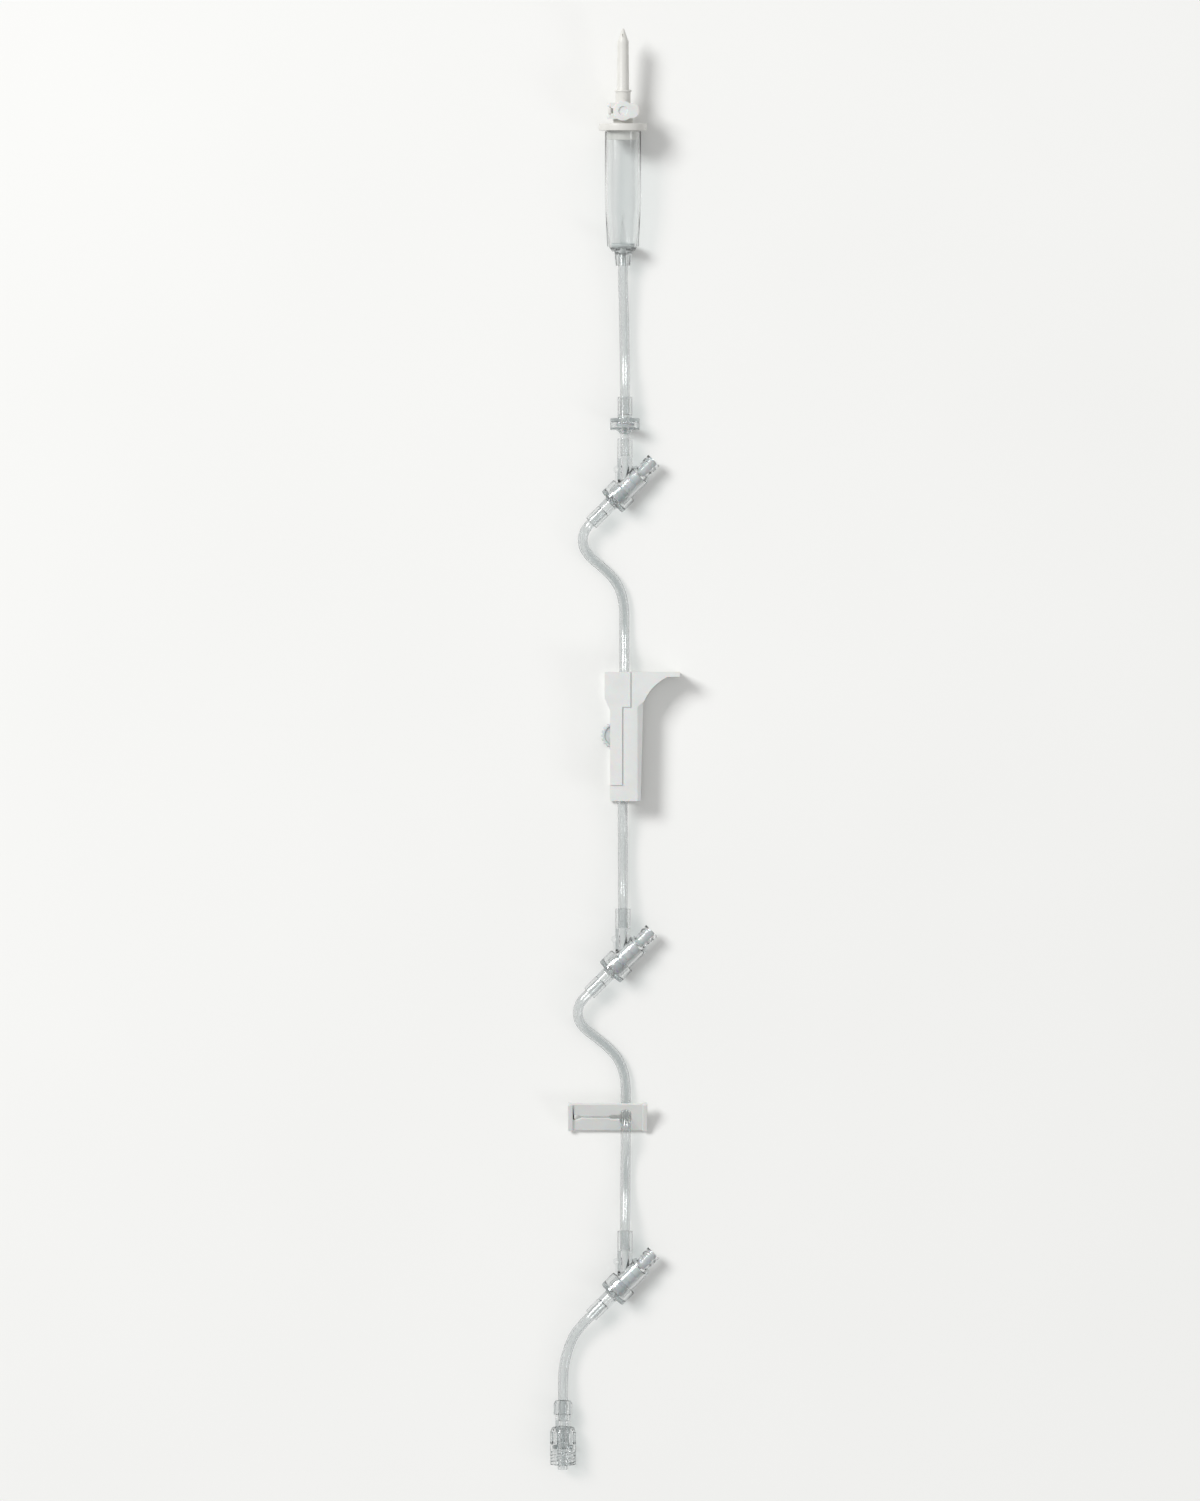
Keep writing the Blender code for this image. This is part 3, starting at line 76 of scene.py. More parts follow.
SKY_COLOUR = "#FFFFFF"
SKY_AT_HORIZON = 0.12
SKY_OVERHEAD = 0.58
SKY_FULL_HEIGHT = 0.75
WINDOW_PLACE = Vector((-2600.0, 1800.0, 3000.0))
WINDOW_SIDE = 1400.0
WINDOW_POWER = 130.0
LAMP_PLACE = Vector((1500.0, -700.0, 900.0))
LAMP_SIDE = 500.0
LAMP_POWER = 3.5


def linear(colour):
    """An sRGB hex colour as linear red, green, blue and full alpha."""
    channels = []
    for start in (1, 3, 5):
        value = int(colour[start : start + 2], 16) / 255
        channels.append(value / 12.92 if value <= 0.04045 else ((value + 0.055) / 1.055) ** 2.4)
    return (*channels, 1.0)


def add(tree, kind, inputs=None, **settings):
    """Add one shader node with its settings, and a value or a link for each input."""
    node = tree.nodes.new("ShaderNode" + kind)
    for setting, value in settings.items():
        setattr(node, setting, value)
    for socket, value in (inputs or {}).items():
        if isinstance(value, bpy.types.NodeSocket):
            tree.links.new(value, node.inputs[socket])
        else:
            node.inputs[socket].default_value = value
    return node


def per_mm(size):
    """The scale at which a pattern in metres repeats after a size in millimetres."""
    return 1 / (size * MM)


def blank_material(name):
    """A new material, and its node tree with nothing in it."""
    material = bpy.data.materials.new(name)
    material.use_nodes = True
    material.node_tree.nodes.clear()
    return material, material.node_tree


def laminate_table():
    """Matt melamine laminate: pale, with a broad faint unevenness and a fine pebbled press grain."""
    material, tree = blank_material("melamine_table_top")
    place = add(tree, "TexCoord").outputs["Object"]
    drift = add(tree, "TexNoise", {"Vector": place, "Scale": per_mm(TABLE_DRIFT), "Detail": 2.0})
    tones = {0: drift.outputs["Fac"], 6: linear("#F5F5F3"), 7: linear("#F0F0EE")}
    colour = add(tree, "Mix", tones, data_type="RGBA")
    grain = add(tree, "TexNoise", {"Vector": place, "Scale": per_mm(TABLE_GRAIN), "Detail": 3.0})
    depth = TABLE_GRAIN_DEPTH * MM
    bump = add(tree, "Bump", {"Height": grain.outputs["Fac"], "Distance": depth, "Strength": 0.5})
    shader = add(
        tree,
        "BsdfPrincipled",
        {
            "Base Color": colour.outputs[2],
            "Roughness": 0.75,
            "Specular IOR Level": 0.2,
            "Normal": bump.outputs[0],
        },
    )
    add(tree, "OutputMaterial", {"Surface": shader.outputs[0]})
    return material


def soft_lamp(name, place, side, power):
    """A square lamp behind diffusing cloth, turned towards the middle of the table."""
    data = bpy.data.lights.new(name, "AREA")
    data.size = side * MM
    data.energy = power
    lamp = bpy.data.objects.new(name, data)
    lamp.location = place * MM
    lamp.rotation_euler = (-place).to_track_quat("-Z", "Y").to_euler()
    bpy.context.collection.objects.link(lamp)


view = bpy.data.cameras.new("camera_above")
view.sensor_width = FILM_LENGTH
view.lens = FILM_LENGTH * CAMERA_DISTANCE / VIEW_HEIGHT
view.clip_end = CAMERA_REACH * MM
camera = bpy.data.objects.new("camera_above", view)
camera.location = (VIEW_MIDDLE + Vector((0, 0, CAMERA_DISTANCE))) * MM
bpy.context.collection.objects.link(camera)
bpy.context.scene.camera = camera
bpy.context.scene.view_settings.view_transform = "Standard"

table_mesh = bpy.data.meshes.new("table_top")
edge = TABLE_REACH * MM
table_corners = [(-edge, -edge, 0), (edge, -edge, 0), (edge, edge, 0), (-edge, edge, 0)]
table_mesh.from_pydata(table_corners, [], [(0, 1, 2, 3)])
table_mesh.materials.append(laminate_table())
table = bpy.data.objects.new("table_top", table_mesh)
table.location.z = -TABLE_DEPTH * MM
bpy.context.collection.objects.link(table)

# The daylight is dim near the horizon, so that clear plastic shows darker edges against the table
world = bpy.data.worlds.new("diffused_daylight")
world.use_nodes = True
sky = world.node_tree
sky.nodes.clear()
direction = add(sky, "TexCoord").outputs["Generated"]
height = add(sky, "SeparateXYZ", {0: direction}).outputs["Z"]
glow = add(
    sky,
    "MapRange",
    {
        "Value": height,
        "From Min": 0.0,
        "From Max": SKY_FULL_HEIGHT,
        "To Min": SKY_AT_HORIZON,
        "To Max": SKY_OVERHEAD,
    },
    interpolation_type="SMOOTHSTEP",
)
dome = add(sky, "Background", {"Color": linear(SKY_COLOUR), "Strength": glow.outputs[0]})
add(sky, "OutputWorld", {"Surface": dome.outputs[0]})
bpy.context.scene.world = world
soft_lamp("window_light", WINDOW_PLACE, WINDOW_SIDE, WINDOW_POWER)
soft_lamp("ceiling_lamp", LAMP_PLACE, LAMP_SIDE, LAMP_POWER)

# Tubing
# Flexible PVC tube, 3.9 mm outside and 2.6 mm inside, extruded and cut into four lengths.
# Each end is bonded in a socket of the fitting it meets, and the free stretches lie on the table.
TUBE_R = 1.95
TUBE_BORE_R = 1.3
TUBE_SIDES = 36
PARTS_PER_SPAN = 8
TUBE_RIM_TURN = 60
COLOUR_DRIFT = 6.0
GLOSS_PATCH = 1.5

# The middle line of each tube, between its ends in their two sockets. It leaves the first socket at its
# second point, and its heights are those of a tube that rests on the table between its fittings.
CHAMBER_TO_VALVE = [
    (3.2, 198.01, 6.0),
    (3.2, 193.72, 5.69),
    (3.2, 189.83, 5.41),
    (3.4, 181.0, 4.55),
    (3.7, 168.0, 3.55),
    (3.9, 155.0, 4.1),
    (3.98, 145.02, 5.9),
    (3.98, 141.12, 5.9),
    (3.98, 134.22, 5.9),
]
PORT_1_TO_PORT_2 = [
    (-4.79, 95.41, 5.9),
    (-9.53, 90.67, 5.9),
    (-10.22, 89.98, 5.9),
    (-12.24, 87.03, 5.3),
    (-12.9, 83.74, 4.8),
    (-12.24, 80.45, 4.3),
    (-10.38, 77.66, 3.75),
    (-5.1, 73.0, 2.8),
    (-0.6, 68.4, 2.2),
    (2.2, 63.4, 2.04),
    (3.5, 57.5, 2.04),
    (3.72, 50.0, 2.15),
    (3.72, 43.0, 3.2),
    (3.72, 36.0, 5.3),
    (3.72, 31.08, 6.25),
    (3.79, 25.48, 6.25),
    (5.04, 17.88, 6.25),
    (6.79, 12.08, 6.25),
    (7.7, 7.68, 6.25),
    (7.7, 3.68, 6.25),
    (6.94, 0.08, 6.25),
    (4.99, -6.32, 6.25),
    (3.64, -12.92, 6.25),
    (3.08, -20.52, 6.25),
    (3.08, -27.0, 5.4),
    (3.1, -35.0, 4.05),
    (3.13, -43.0, 3.8),
    (3.15, -51.0, 4.35),
    (3.16, -61.61, 5.9),
    (3.16, -63.56, 5.9),
    (3.16, -71.26, 5.9),
]
PORT_2_TO_PORT_3 = [
    (-5.61, -92.63, 5.9),
    (-10.35, -97.37, 5.9),
    (-11.04, -98.06, 5.9),
    (-12.39, -99.41, 5.78),
    (-14.21, -102.14, 5.4),
    (-14.85, -105.35, 4.9),
    (-14.21, -108.56, 4.35),
    (-12.39, -111.29, 3.75),
    (-7.4, -115.3, 2.75),
    (-2.6, -119.4, 2.2),
    (1.4, -124.3, 2.06),
    (3.6, -130.0, 2.02),
    (4.25, -135.6, 2.02),
    (4.3, -139.2, 2.06),
    (4.3, -141.9, 2.25),
    (4.3, -144.4, 2.8),
    (4.3, -146.9, 4.0),
    (4.3, -149.3, 5.1),
    (4.3, -152.3, 5.6),
    (4.3, -155.4, 5.15),
    (4.28, -159.0, 3.85),
    (4.25, -163.2, 2.55),
    (4.2, -167.0, 2.12),
    (4.15, -173.0, 2.1),
    (4.1, -179.0, 3.1),
    (4.05, -185.0, 4.85),
    (4.0, -190.53, 5.9),
    (4.0, -192.48, 5.9),
    (4.0, -200.18, 5.9),
]
PORT_3_TO_LUER = [
    (-4.77, -221.55, 5.9),
    (-9.51, -226.29, 5.9),
    (-10.2, -226.98, 5.9),
    (-12.4, -229.3, 5.2),
    (-16.1, -234.0, 4.3),
    (-18.9, -240.4, 3.75),
    (-20.5, -247.6, 3.7),
    (-20.8, -254.0, 4.5),
    (-20.8, -258.33, 5.12),
    (-20.8, -260.28, 5.12),
    (-20.8, -268.08, 5.12),
]


def plastic(name, pale, shade, roughness, grain, grain_depth, lets_through=None, depth_tint=None, **finish):
    """A plastic whose colour drifts a little as it cooled, with patches of gloss and the fine grain of its
    mould or die. roughness is from the glossiest patch to the dullest. lets_through is the share of light,
    as a colour, that one face of a clear plastic lets on to what is under it. depth_tint is a colour and a
    density for what is seen through its depth, as at its edges. finish gives the shader's other inputs."""
    material, tree = blank_material(name)
    place = add(tree, "TexCoord").outputs["Object"]
    drift = add(tree, "TexNoise", {"Vector": place, "Scale": per_mm(COLOUR_DRIFT), "Detail": 2.0})
    tones = {0: drift.outputs["Fac"], 6: linear(pale), 7: linear(shade)}
    colour = add(tree, "Mix", tones, data_type="RGBA")
    patches = add(tree, "TexNoise", {"Vector": place, "Scale": per_mm(GLOSS_PATCH), "Detail": 1.0})
    gloss = add(
        tree,
        "MapRange",
        {
            "Value": patches.outputs["Fac"],
            "From Min": 0.3,
            "From Max": 0.7,
            "To Min": roughness[0],
            "To Max": roughness[1],
        },
    )
    pits = add(tree, "TexNoise", {"Vector": place, "Scale": per_mm(grain), "Detail": 2.0})
    bump = add(tree, "Bump", {"Height": pits.outputs["Fac"], "Distance": grain_depth * MM, "Strength": 1.0})
    inputs = {"Base Color": colour.outputs[2], "Roughness": gloss.outputs[0], "Normal": bump.outputs[0]}
    for socket, value in finish.items():
        inputs[socket.replace("_", " ")] = value
    surface = add(tree, "BsdfPrincipled", inputs).outputs[0]
    if lets_through:
        rays = add(tree, "LightPath").outputs
        passed = add(tree, "BsdfTransparent", {"Color": linear(lets_through)}).outputs[0]
        for ray in ("Is Shadow Ray", "Is Diffuse Ray"):
            surface = add(tree, "MixShader", {0: rays[ray], 1: surface, 2: passed}).outputs[0]
    output = add(tree, "OutputMaterial", {"Surface": surface})
    if depth_tint:
        tint, density = depth_tint
        body = add(tree, "VolumeAbsorption", {"Color": linear(tint), "Density": density})
        tree.links.new(body.outputs[0], output.inputs["Volume"])
    return material


# Plasticised PVC, drawn through a die: clear and softly glossy with a grey cast and shallow die waves
extruded_pvc = plastic(
    "extruded_clear_pvc",
    pale="#FDFDFD",
    shade="#F8FAFA",
    roughness=(0.10, 0.16),
    grain=3.0,
    grain_depth=0.003,
    lets_through="#FAFBFB",
    depth_tint=("#B9BFC0", 300.0),
    Transmission_Weight=1.0,
    IOR=1.53,
)


def smooth_route(points):
    """A cubic curve through the points, with its direction at each one taken from its two neighbours."""
    points = [Vector(point) for point in points]
    steps = [after - before for before, after in zip(points, points[1:])]
    tangents = [steps[0].normalized()]
    for before, after in zip(steps, steps[1:]):
        mixed = before.normalized() * after.length + after.normalized() * before.length
        tangents.append(mixed.normalized())
    tangents.append(steps[-1].normalized())
    route = [points[0]]
    for index, span in enumerate(steps):
        start, end = points[index], points[index + 1]
        for part in range(1, PARTS_PER_SPAN + 1):
            t = part / PARTS_PER_SPAN
            place = start * (2 * t**3 - 3 * t**2 + 1) + end * (3 * t**2 - 2 * t**3)
            place += tangents[index] * span.length * (t**3 - 2 * t**2 + t)
            place += tangents[index + 1] * span.length * (t**3 - t**2)
            route.append(place)
    return route


def linked(name, data):
    """Turn bmesh data into an object in the scene, with its faces pointing out."""
    bmesh.ops.recalc_face_normals(data, faces=data.faces)
    mesh = bpy.data.meshes.new(name)
    data.to_mesh(mesh)
    data.free()
    piece = bpy.data.objects.new(name, mesh)
    bpy.context.collection.objects.link(piece)
    return piece


def bridged(data, lower, upper):
    """Join two rings of corners, or a ring and a single corner, by a band of faces."""
    steps = max(len(lower), len(upper))
    for step in range(steps):
        following = (step + 1) % steps
        if len(lower) == 1:
            data.faces.new((lower[0], upper[step], upper[following]))
        elif len(upper) == 1:
            data.faces.new((lower[step], lower[following], upper[0]))
        else:
            data.faces.new((lower[step], lower[following], upper[following], upper[step]))


def tube(name, points):
    """A hollow tube along a smooth curve, its rings carried along without twisting."""
    points = [tuple(round(value * MM, 6) for value in point) for point in points]
    route = smooth_route(points)
    data = bmesh.new()
    walls = {TUBE_R: [], TUBE_BORE_R: []}
    heading = (route[1] - route[0]).normalized()
    side = heading.orthogonal().normalized()
    for index, centre in enumerate(route):
        before = route[max(index - 1, 0)]
        after = route[min(index + 1, len(route) - 1)]
        turned_to = (after - before).normalized()
        side = heading.rotation_difference(turned_to) @ side
        heading = turned_to
        across = heading.cross(side)
        for radius, rings in walls.items():
            ring = []
            for step in range(TUBE_SIDES):
                angle = 2 * math.pi * step / TUBE_SIDES
                outwards = side * math.cos(angle) + across * math.sin(angle)
                ring.append(data.verts.new(centre + outwards * radius * MM))
            rings.append(ring)
    loop = walls[TUBE_R] + walls[TUBE_BORE_R][::-1]
    for lower, upper in zip(loop, loop[1:] + loop[:1]):
        bridged(data, lower, upper)
    piece = linked(f"{name}_wall", data)
    piece.data.materials.append(extruded_pvc)
    piece.data.shade_smooth()
    piece.data.set_sharp_from_angle(angle=math.radians(TUBE_RIM_TURN))
    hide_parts(name)
    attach(piece, "line")


tube("tube_chamber_to_valve", CHAMBER_TO_VALVE)
tube("tube_port_1_to_port_2", PORT_1_TO_PORT_2)
tube("tube_port_2_to_port_3", PORT_2_TO_PORT_3)
tube("tube_port_3_to_luer", PORT_3_TO_LUER)

# Drip chamber
# Clear stiff chamber moulded in one piece with four wedge ribs over its taper and the socket of its outlet.
# Its heights run up its own axis from the outlet's mouth, and it leans on the flange of the spike cap.
LEAN_RADIANS = 0.071765
OUTLET_PLACE = Vector((3.2, 193.72, 5.689))
BOND_GAP = 0.03
SOCKET_R = TUBE_R + BOND_GAP
SLIVER = 0.003
CUT_PAST = 1.0
MOULD_ROUNDING = 0.2
NEARLY_STRAIGHT = 165
SHARE_OF_SIDE = 0.45
BEVELLED_TURN = 35
SHARP_TURN = 32
CHAMBER_R = 7.2
CHAMBER_FOOT_R = 5.8
CHAMBER_WALL = 0.7
CHAMBER_TOP = 53.5
TAPER_TOP = 24.8
CHAMBER_FOOT = 7.6
CHAMBER_FLOOR = 7.3
CHAMBER_BASE_R = 4.4
FUNNEL_R = 3.4
OUTLET_LENGTH = 5.6
OUTLET_MOUTH_R = 2.9
OUTLET_TOP_R = 3.45
OUTLET_SOCKET = 4.6
OUTLET_BORE_R = 1.3
RIB_FOOT_R = 6.25
RIB_FOOT_WIDTH = 2.0
RIB_TOP_WIDTH = 0.5

# Clear acrylic copolymer from a polished mould: near as bright as glass, with weak flow waves
polished_acrylic = plastic(
    "moulded_clear_acrylic",
    pale="#FEFEFE",
    shade="#FAFBFB",
    roughness=(0.04, 0.07),
    grain=4.0,
    grain_depth=0.003,
    lets_through="#FBFCFC",
    depth_tint=("#CBD0D1", 130.0),
    Transmission_Weight=1.0,
    IOR=1.5,
)


def softened(points, radius, closed=True, steps=3):
    """Round each real corner of an outline, as a mould leaves it."""
    points = [Vector(point) for point in points]
    rounded = []
    for index, corner in enumerate(points):
        if not closed and index in (0, len(points) - 1):
            rounded.append(corner)
            continue
        before = points[index - 1] - corner
        after = points[(index + 1) % len(points)] - corner
        opening = before.angle(after)
        if opening > math.radians(NEARLY_STRAIGHT):
            rounded.append(corner)
            continue
        shorter = min(before.length, after.length)
        reach = min(radius / math.tan(opening / 2), SHARE_OF_SIDE * shorter)
        start = corner + before.normalized() * reach
        end = corner + after.normalized() * reach
        for step in range(steps + 1):
            t = step / steps
            rounded.append(start * (1 - t) ** 2 + corner * 2 * t * (1 - t) + end * t**2)
    return rounded


def turned(name, profile, steps=64, rounding=0.0, corner_steps=3, ripple=None):
    """Turn (radius, height) points round Z, their corners rounded. A profile off the axis is a closed loop,
    or else it starts and ends on the axis. ripple gives a radius for a point's radius, height and angle."""
    closed = profile[0][0] > 0
    if rounding:
        profile = softened(profile, rounding, closed, corner_steps)
    data = bmesh.new()
    rings = []
    for radius, height in profile:
        if radius == 0:
            rings.append([data.verts.new((0, 0, height * MM))])
            continue
        ring = []
        for step in range(steps):
            angle = 2 * math.pi * step / steps
            reach = ripple(radius, height, angle) if ripple else radius
            corner = Vector((reach * math.cos(angle), reach * math.sin(angle), height))
            ring.append(data.verts.new(corner * MM))
        rings.append(ring)
    for lower, upper in zip(rings, rings[1:] + rings[:1] if closed else rings[1:]):
        bridged(data, lower, upper)
    return linked(name, data)


def solid(name, sections):
    """A closed solid through equal loops of corners, one after another, with a flat face at each end."""
    data = bmesh.new()
    rings = [[data.verts.new(Vector(corner) * MM) for corner in section] for section in sections]
    for lower, upper in zip(rings, rings[1:]):
        bridged(data, lower, upper)
    data.faces.new(rings[0])
    data.faces.new(rings[-1])
    return linked(name, data)


def placed(x, y, z, turns=()):
    """A place in millimetres, with turns about its own axes, each as degrees and an axis."""
    place = Matrix.Translation(Vector((x, y, z)) * MM)
    for degrees, axis in turns:
        place = place @ Matrix.Rotation(math.radians(degrees), 4, axis)
    return place


def rotated(degrees, axis):
    """A turn about one axis, on the spot."""
    return placed(0, 0, 0, [(degrees, axis)])


def moved(piece, place):
    """Move a piece's mesh, and give the piece back."""
    piece.data.transform(place)
    return piece


def worked(piece, operation, *tools):
    """Add helper solids to a piece or cut them away, exactly, and remove the helpers and any slivers."""
    for tool in tools:
        step = piece.modifiers.new(tool.name, "BOOLEAN")
        step.operation = operation
        step.solver = "EXACT"
        step.object = tool
    graph = bpy.context.evaluated_depsgraph_get()
    shaped = bpy.data.meshes.new_from_object(piece.evaluated_get(graph))
    piece.modifiers.clear()
    piece.data = shaped
    data = bmesh.new()
    data.from_mesh(shaped)
    bmesh.ops.remove_doubles(data, verts=data.verts, dist=SLIVER * MM)
    bmesh.ops.dissolve_degenerate(data, edges=data.edges, dist=SLIVER * MM)
    data.to_mesh(shaped)
    data.free()
    for tool in tools:
        bpy.data.objects.remove(tool)
    return piece


def rounded_edges(piece, width, segments=2):
    """Bevel the edges of a piece, but not the facets of its curves."""
    bevel = piece.modifiers.new("rounded_edges", "BEVEL")
    bevel.width = width * MM
    bevel.segments = segments
    bevel.limit_method = "ANGLE"
    bevel.angle_limit = math.radians(BEVELLED_TURN)
    return piece


def dressed(piece, place, material, node):
    """Give a finished piece its material and smooth shading, put it in its place, hide the node it stands
    for and attach it to that node's body, or else to the line.
    """
    piece.data.materials.clear()
    piece.data.materials.append(material)
    piece.data.shade_smooth()
    if piece.modifiers:
        level = piece.modifiers.new("level_faces", "WEIGHTED_NORMAL")
        level.weight = 100
    else:
        piece.data.set_sharp_from_angle(angle=math.radians(SHARP_TURN))
    piece.data.transform(place)
    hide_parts(node)
    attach(piece, node if node in frame["bodies"] else "line")


spike_axis = placed(*OUTLET_PLACE, [(-90 + math.degrees(LEAN_RADIANS), "X")])
chamber_bore_r = CHAMBER_R - CHAMBER_WALL
chamber_profile = [
    (OUTLET_MOUTH_R, 0),
    (OUTLET_TOP_R, OUTLET_LENGTH),
    (CHAMBER_BASE_R, OUTLET_LENGTH),
    (CHAMBER_FOOT_R, CHAMBER_FOOT),
    (CHAMBER_R, TAPER_TOP),
    (CHAMBER_R, CHAMBER_TOP),
    (chamber_bore_r, CHAMBER_TOP),
    (chamber_bore_r, TAPER_TOP),
    (CHAMBER_FOOT_R - CHAMBER_WALL, CHAMBER_FLOOR),
    (FUNNEL_R, CHAMBER_FLOOR),
    (OUTLET_BORE_R, OUTLET_LENGTH),
    (OUTLET_BORE_R, OUTLET_SOCKET),
    (SOCKET_R, OUTLET_SOCKET),
    (SOCKET_R, 0),
]
chamber = turned("drip_chamber_shell", chamber_profile, steps=96, rounding=MOULD_ROUNDING)
# Inner and outer radius, half the width, and the height, at a rib's foot and at its top
rib_foot = (CHAMBER_FOOT_R - CHAMBER_WALL / 2, RIB_FOOT_R, RIB_FOOT_WIDTH / 2, CHAMBER_FOOT)
rib_top = (CHAMBER_R - CHAMBER_WALL / 2, CHAMBER_R - CHAMBER_WALL / 10, RIB_TOP_WIDTH / 2, TAPER_TOP)
ribs = []
for quarter in range(4):
    sections = []
    for inner, outer, half, station in (rib_foot, rib_top):
        rounding = min(half, MOULD_ROUNDING)
        sections.append(
            [
                (inner, -half, station),
                (outer - rounding, -half, station),
                (outer, -half + rounding, station),
                (outer, half - rounding, station),
                (outer - rounding, half, station),
                (inner, half, station),
            ]
        )
    ribs.append(moved(solid(f"chamber_rib_{quarter}", sections), rotated(90 * quarter, "Z")))
worked(chamber, "UNION", *ribs)
dressed(chamber, spike_axis, polished_acrylic, "drip_chamber")

# Fluid filter
# Woven nylon disc welded into a rim, which lies on the chamber's floor and stops particles.
# The real mesh has 0.015 mm openings, and is drawn here with threads 0.125 mm apart so that it shows.
FILTER_R = 4.8
FILTER_BOTTOM = 7.6
FILTER_THICK = 1.2
FILTER_RIM = 0.7
FILTER_SAG = 0.35
FILTER_EDGE = 0.2
FILTER_EDGE_RISE = 0.3
FILTER_ROUNDING = 0.12
THREAD_SPACING = 0.125
THREAD_RELIEF = 0.06


def woven_nylon():
    """Monofilament mesh: bright round threads in both directions, and holes between them that the bump sinks
    and a painted shade darkens.
    """
    material, tree = blank_material("woven_nylon_mesh")
    place = add(tree, "TexCoord").outputs["Object"]
    axes = add(tree, "SeparateXYZ", {0: place})
    gaps = []
    rate = math.pi * per_mm(THREAD_SPACING)
    for axis in ("X", "Z"):
        turns = add(tree, "Math", {0: axes.outputs[axis], 1: rate}, operation="MULTIPLY")
        wave = add(tree, "Math", {0: turns.outputs[0]}, operation="SINE")
        gaps.append(add(tree, "Math", {0: wave.outputs[0]}, operation="ABSOLUTE").outputs[0])
    hole = add(tree, "Math", {0: gaps[0], 1: gaps[1]}, operation="MULTIPLY").outputs[0]
    # The holes get the darker colour as painted shade in the openings between the threads
    tones = {0: hole, 6: linear("#DFE3E2"), 7: linear("#B9C0BF")}
    colour = add(tree, "Mix", tones, data_type="RGBA")
    bump = add(tree, "Bump", {"Height": hole, "Distance": THREAD_RELIEF * MM}, invert=True)
    shader = add(
        tree,
        "BsdfPrincipled",
        {"Base Color": colour.outputs[2], "Roughness": 0.45, "Normal": bump.outputs[0]},
    )
    add(tree, "OutputMaterial", {"Surface": shader.outputs[0]})
    return material


filter_top = FILTER_BOTTOM + FILTER_THICK
filter_profile = [
    (0, FILTER_BOTTOM + FILTER_SAG / 2),
    (FILTER_R - FILTER_RIM, FILTER_BOTTOM),
    (FILTER_R - FILTER_EDGE, FILTER_BOTTOM),
    (FILTER_R, FILTER_BOTTOM + FILTER_EDGE_RISE),
    (FILTER_R, filter_top),
    (FILTER_R - FILTER_RIM, filter_top),
    (FILTER_R - FILTER_RIM, filter_top - FILTER_SAG),
    (0, filter_top - 2 * FILTER_SAG),
]
filter_disc = turned("fluid_filter_disc", filter_profile, rounding=FILTER_ROUNDING)
dressed(filter_disc, spike_axis, woven_nylon(), "fluid_filter")

# Spike cap
# White ABS moulding in one piece: the spike that pierces the bag, its shoulder, the housing of the air
# vent, and the flange with the plug and drop former that close the chamber and show through its wall.
FLANGE = 53.8
FLANGE_R = 9.6
FLANGE_THICK = 2.8
PLUG_DEPTH = 3.8
PLUG_R = chamber_bore_r - 0.05
PLUG_WALL = 0.9
DROPPER_R = 1.9
DROPPER_LENGTH = 3.2
HOUSING = FLANGE + FLANGE_THICK
COLLAR = HOUSING + 8.2
COLLAR_R = 3.0
SHOULDER = COLLAR + 4.4
SHOULDER_R = 3.4
SHAFT = SHOULDER + 0.8
SPIKE_R = 2.4
SPIKE_TOP_R = 2.25
SHAFT_TOP = SHAFT + 19.2
SPIKE_TIP = SHAFT_TOP + 5.2
SPIKE_TIP_R = 0.35
FLUID_BORE_R = 0.8
FLUID_BORE_OFFSET = 0.5
FLUID_MOUTH_BACK = 1.6
AIR_BORE_R = 0.4
AIR_BORE_OFFSET = 1.2
AIR_MOUTH_BACK = 2.2
VENT = HOUSING + 5.0
VENT_R = 4.0
VENT_TOP = 4.6
VENT_BOTTOM = 3.4
VENT_FOOT_HALF = 3.85
VENT_FOOT_DEPTH = 3.5
VENT_SEAT = VENT_TOP - 1.7
VENT_SEAT_R = 2.75
VENT_BORE_R = 1.6
HINGE_OUT = 5.3
HINGE_HEIGHT = 4.75
HINGE_ROD_R = 0.4
HINGE_LUG_R = 0.8
HINGE_LUG_HALF = 1.2
HINGE_ROD_HALF = 3.2
HINGE_WEB_HALF = 1.0
HINGE_WEB_FOOT = VENT_TOP - 1.1
HINGE_WEB_TOP = VENT_TOP - 0.3
SPIKE_ROUNDING = 0.3
VENT_ROUNDING = 0.25
HINGE_ROUNDING = 0.12

# Moulded ABS: an opaque, slightly warm white with a semi-gloss skin
moulded_abs = plastic(
    "moulded_white_abs",
    pale="#E1E0DB",
    shade="#D8D7D2",
    roughness=(0.27, 0.33),
    grain=1.5,
    grain_depth=0.002,
    IOR=1.54,
)


def rod(name, radius, bottom, top, edge=0.0, steps=48):
    """A solid cylinder between two heights, its two edges rounded."""
    return turned(name, [(0, bottom), (radius, bottom), (radius, top), (0, top)], steps, edge)


def slab(name, outline, bottom, top):
    """A flat outline in X and Y, raised from one height to another."""
    return solid(name, [[(x, y, z) for x, y in outline] for z in (bottom, top)])


def block(name, low, high, edge=0.0):
    """A box between two corners, its upright edges rounded."""
    outline = [(low[0], low[1]), (high[0], low[1]), (high[0], high[1]), (low[0], high[1])]
    if edge:
        outline = softened(outline, edge)
    return slab(name, outline, low[2], high[2])


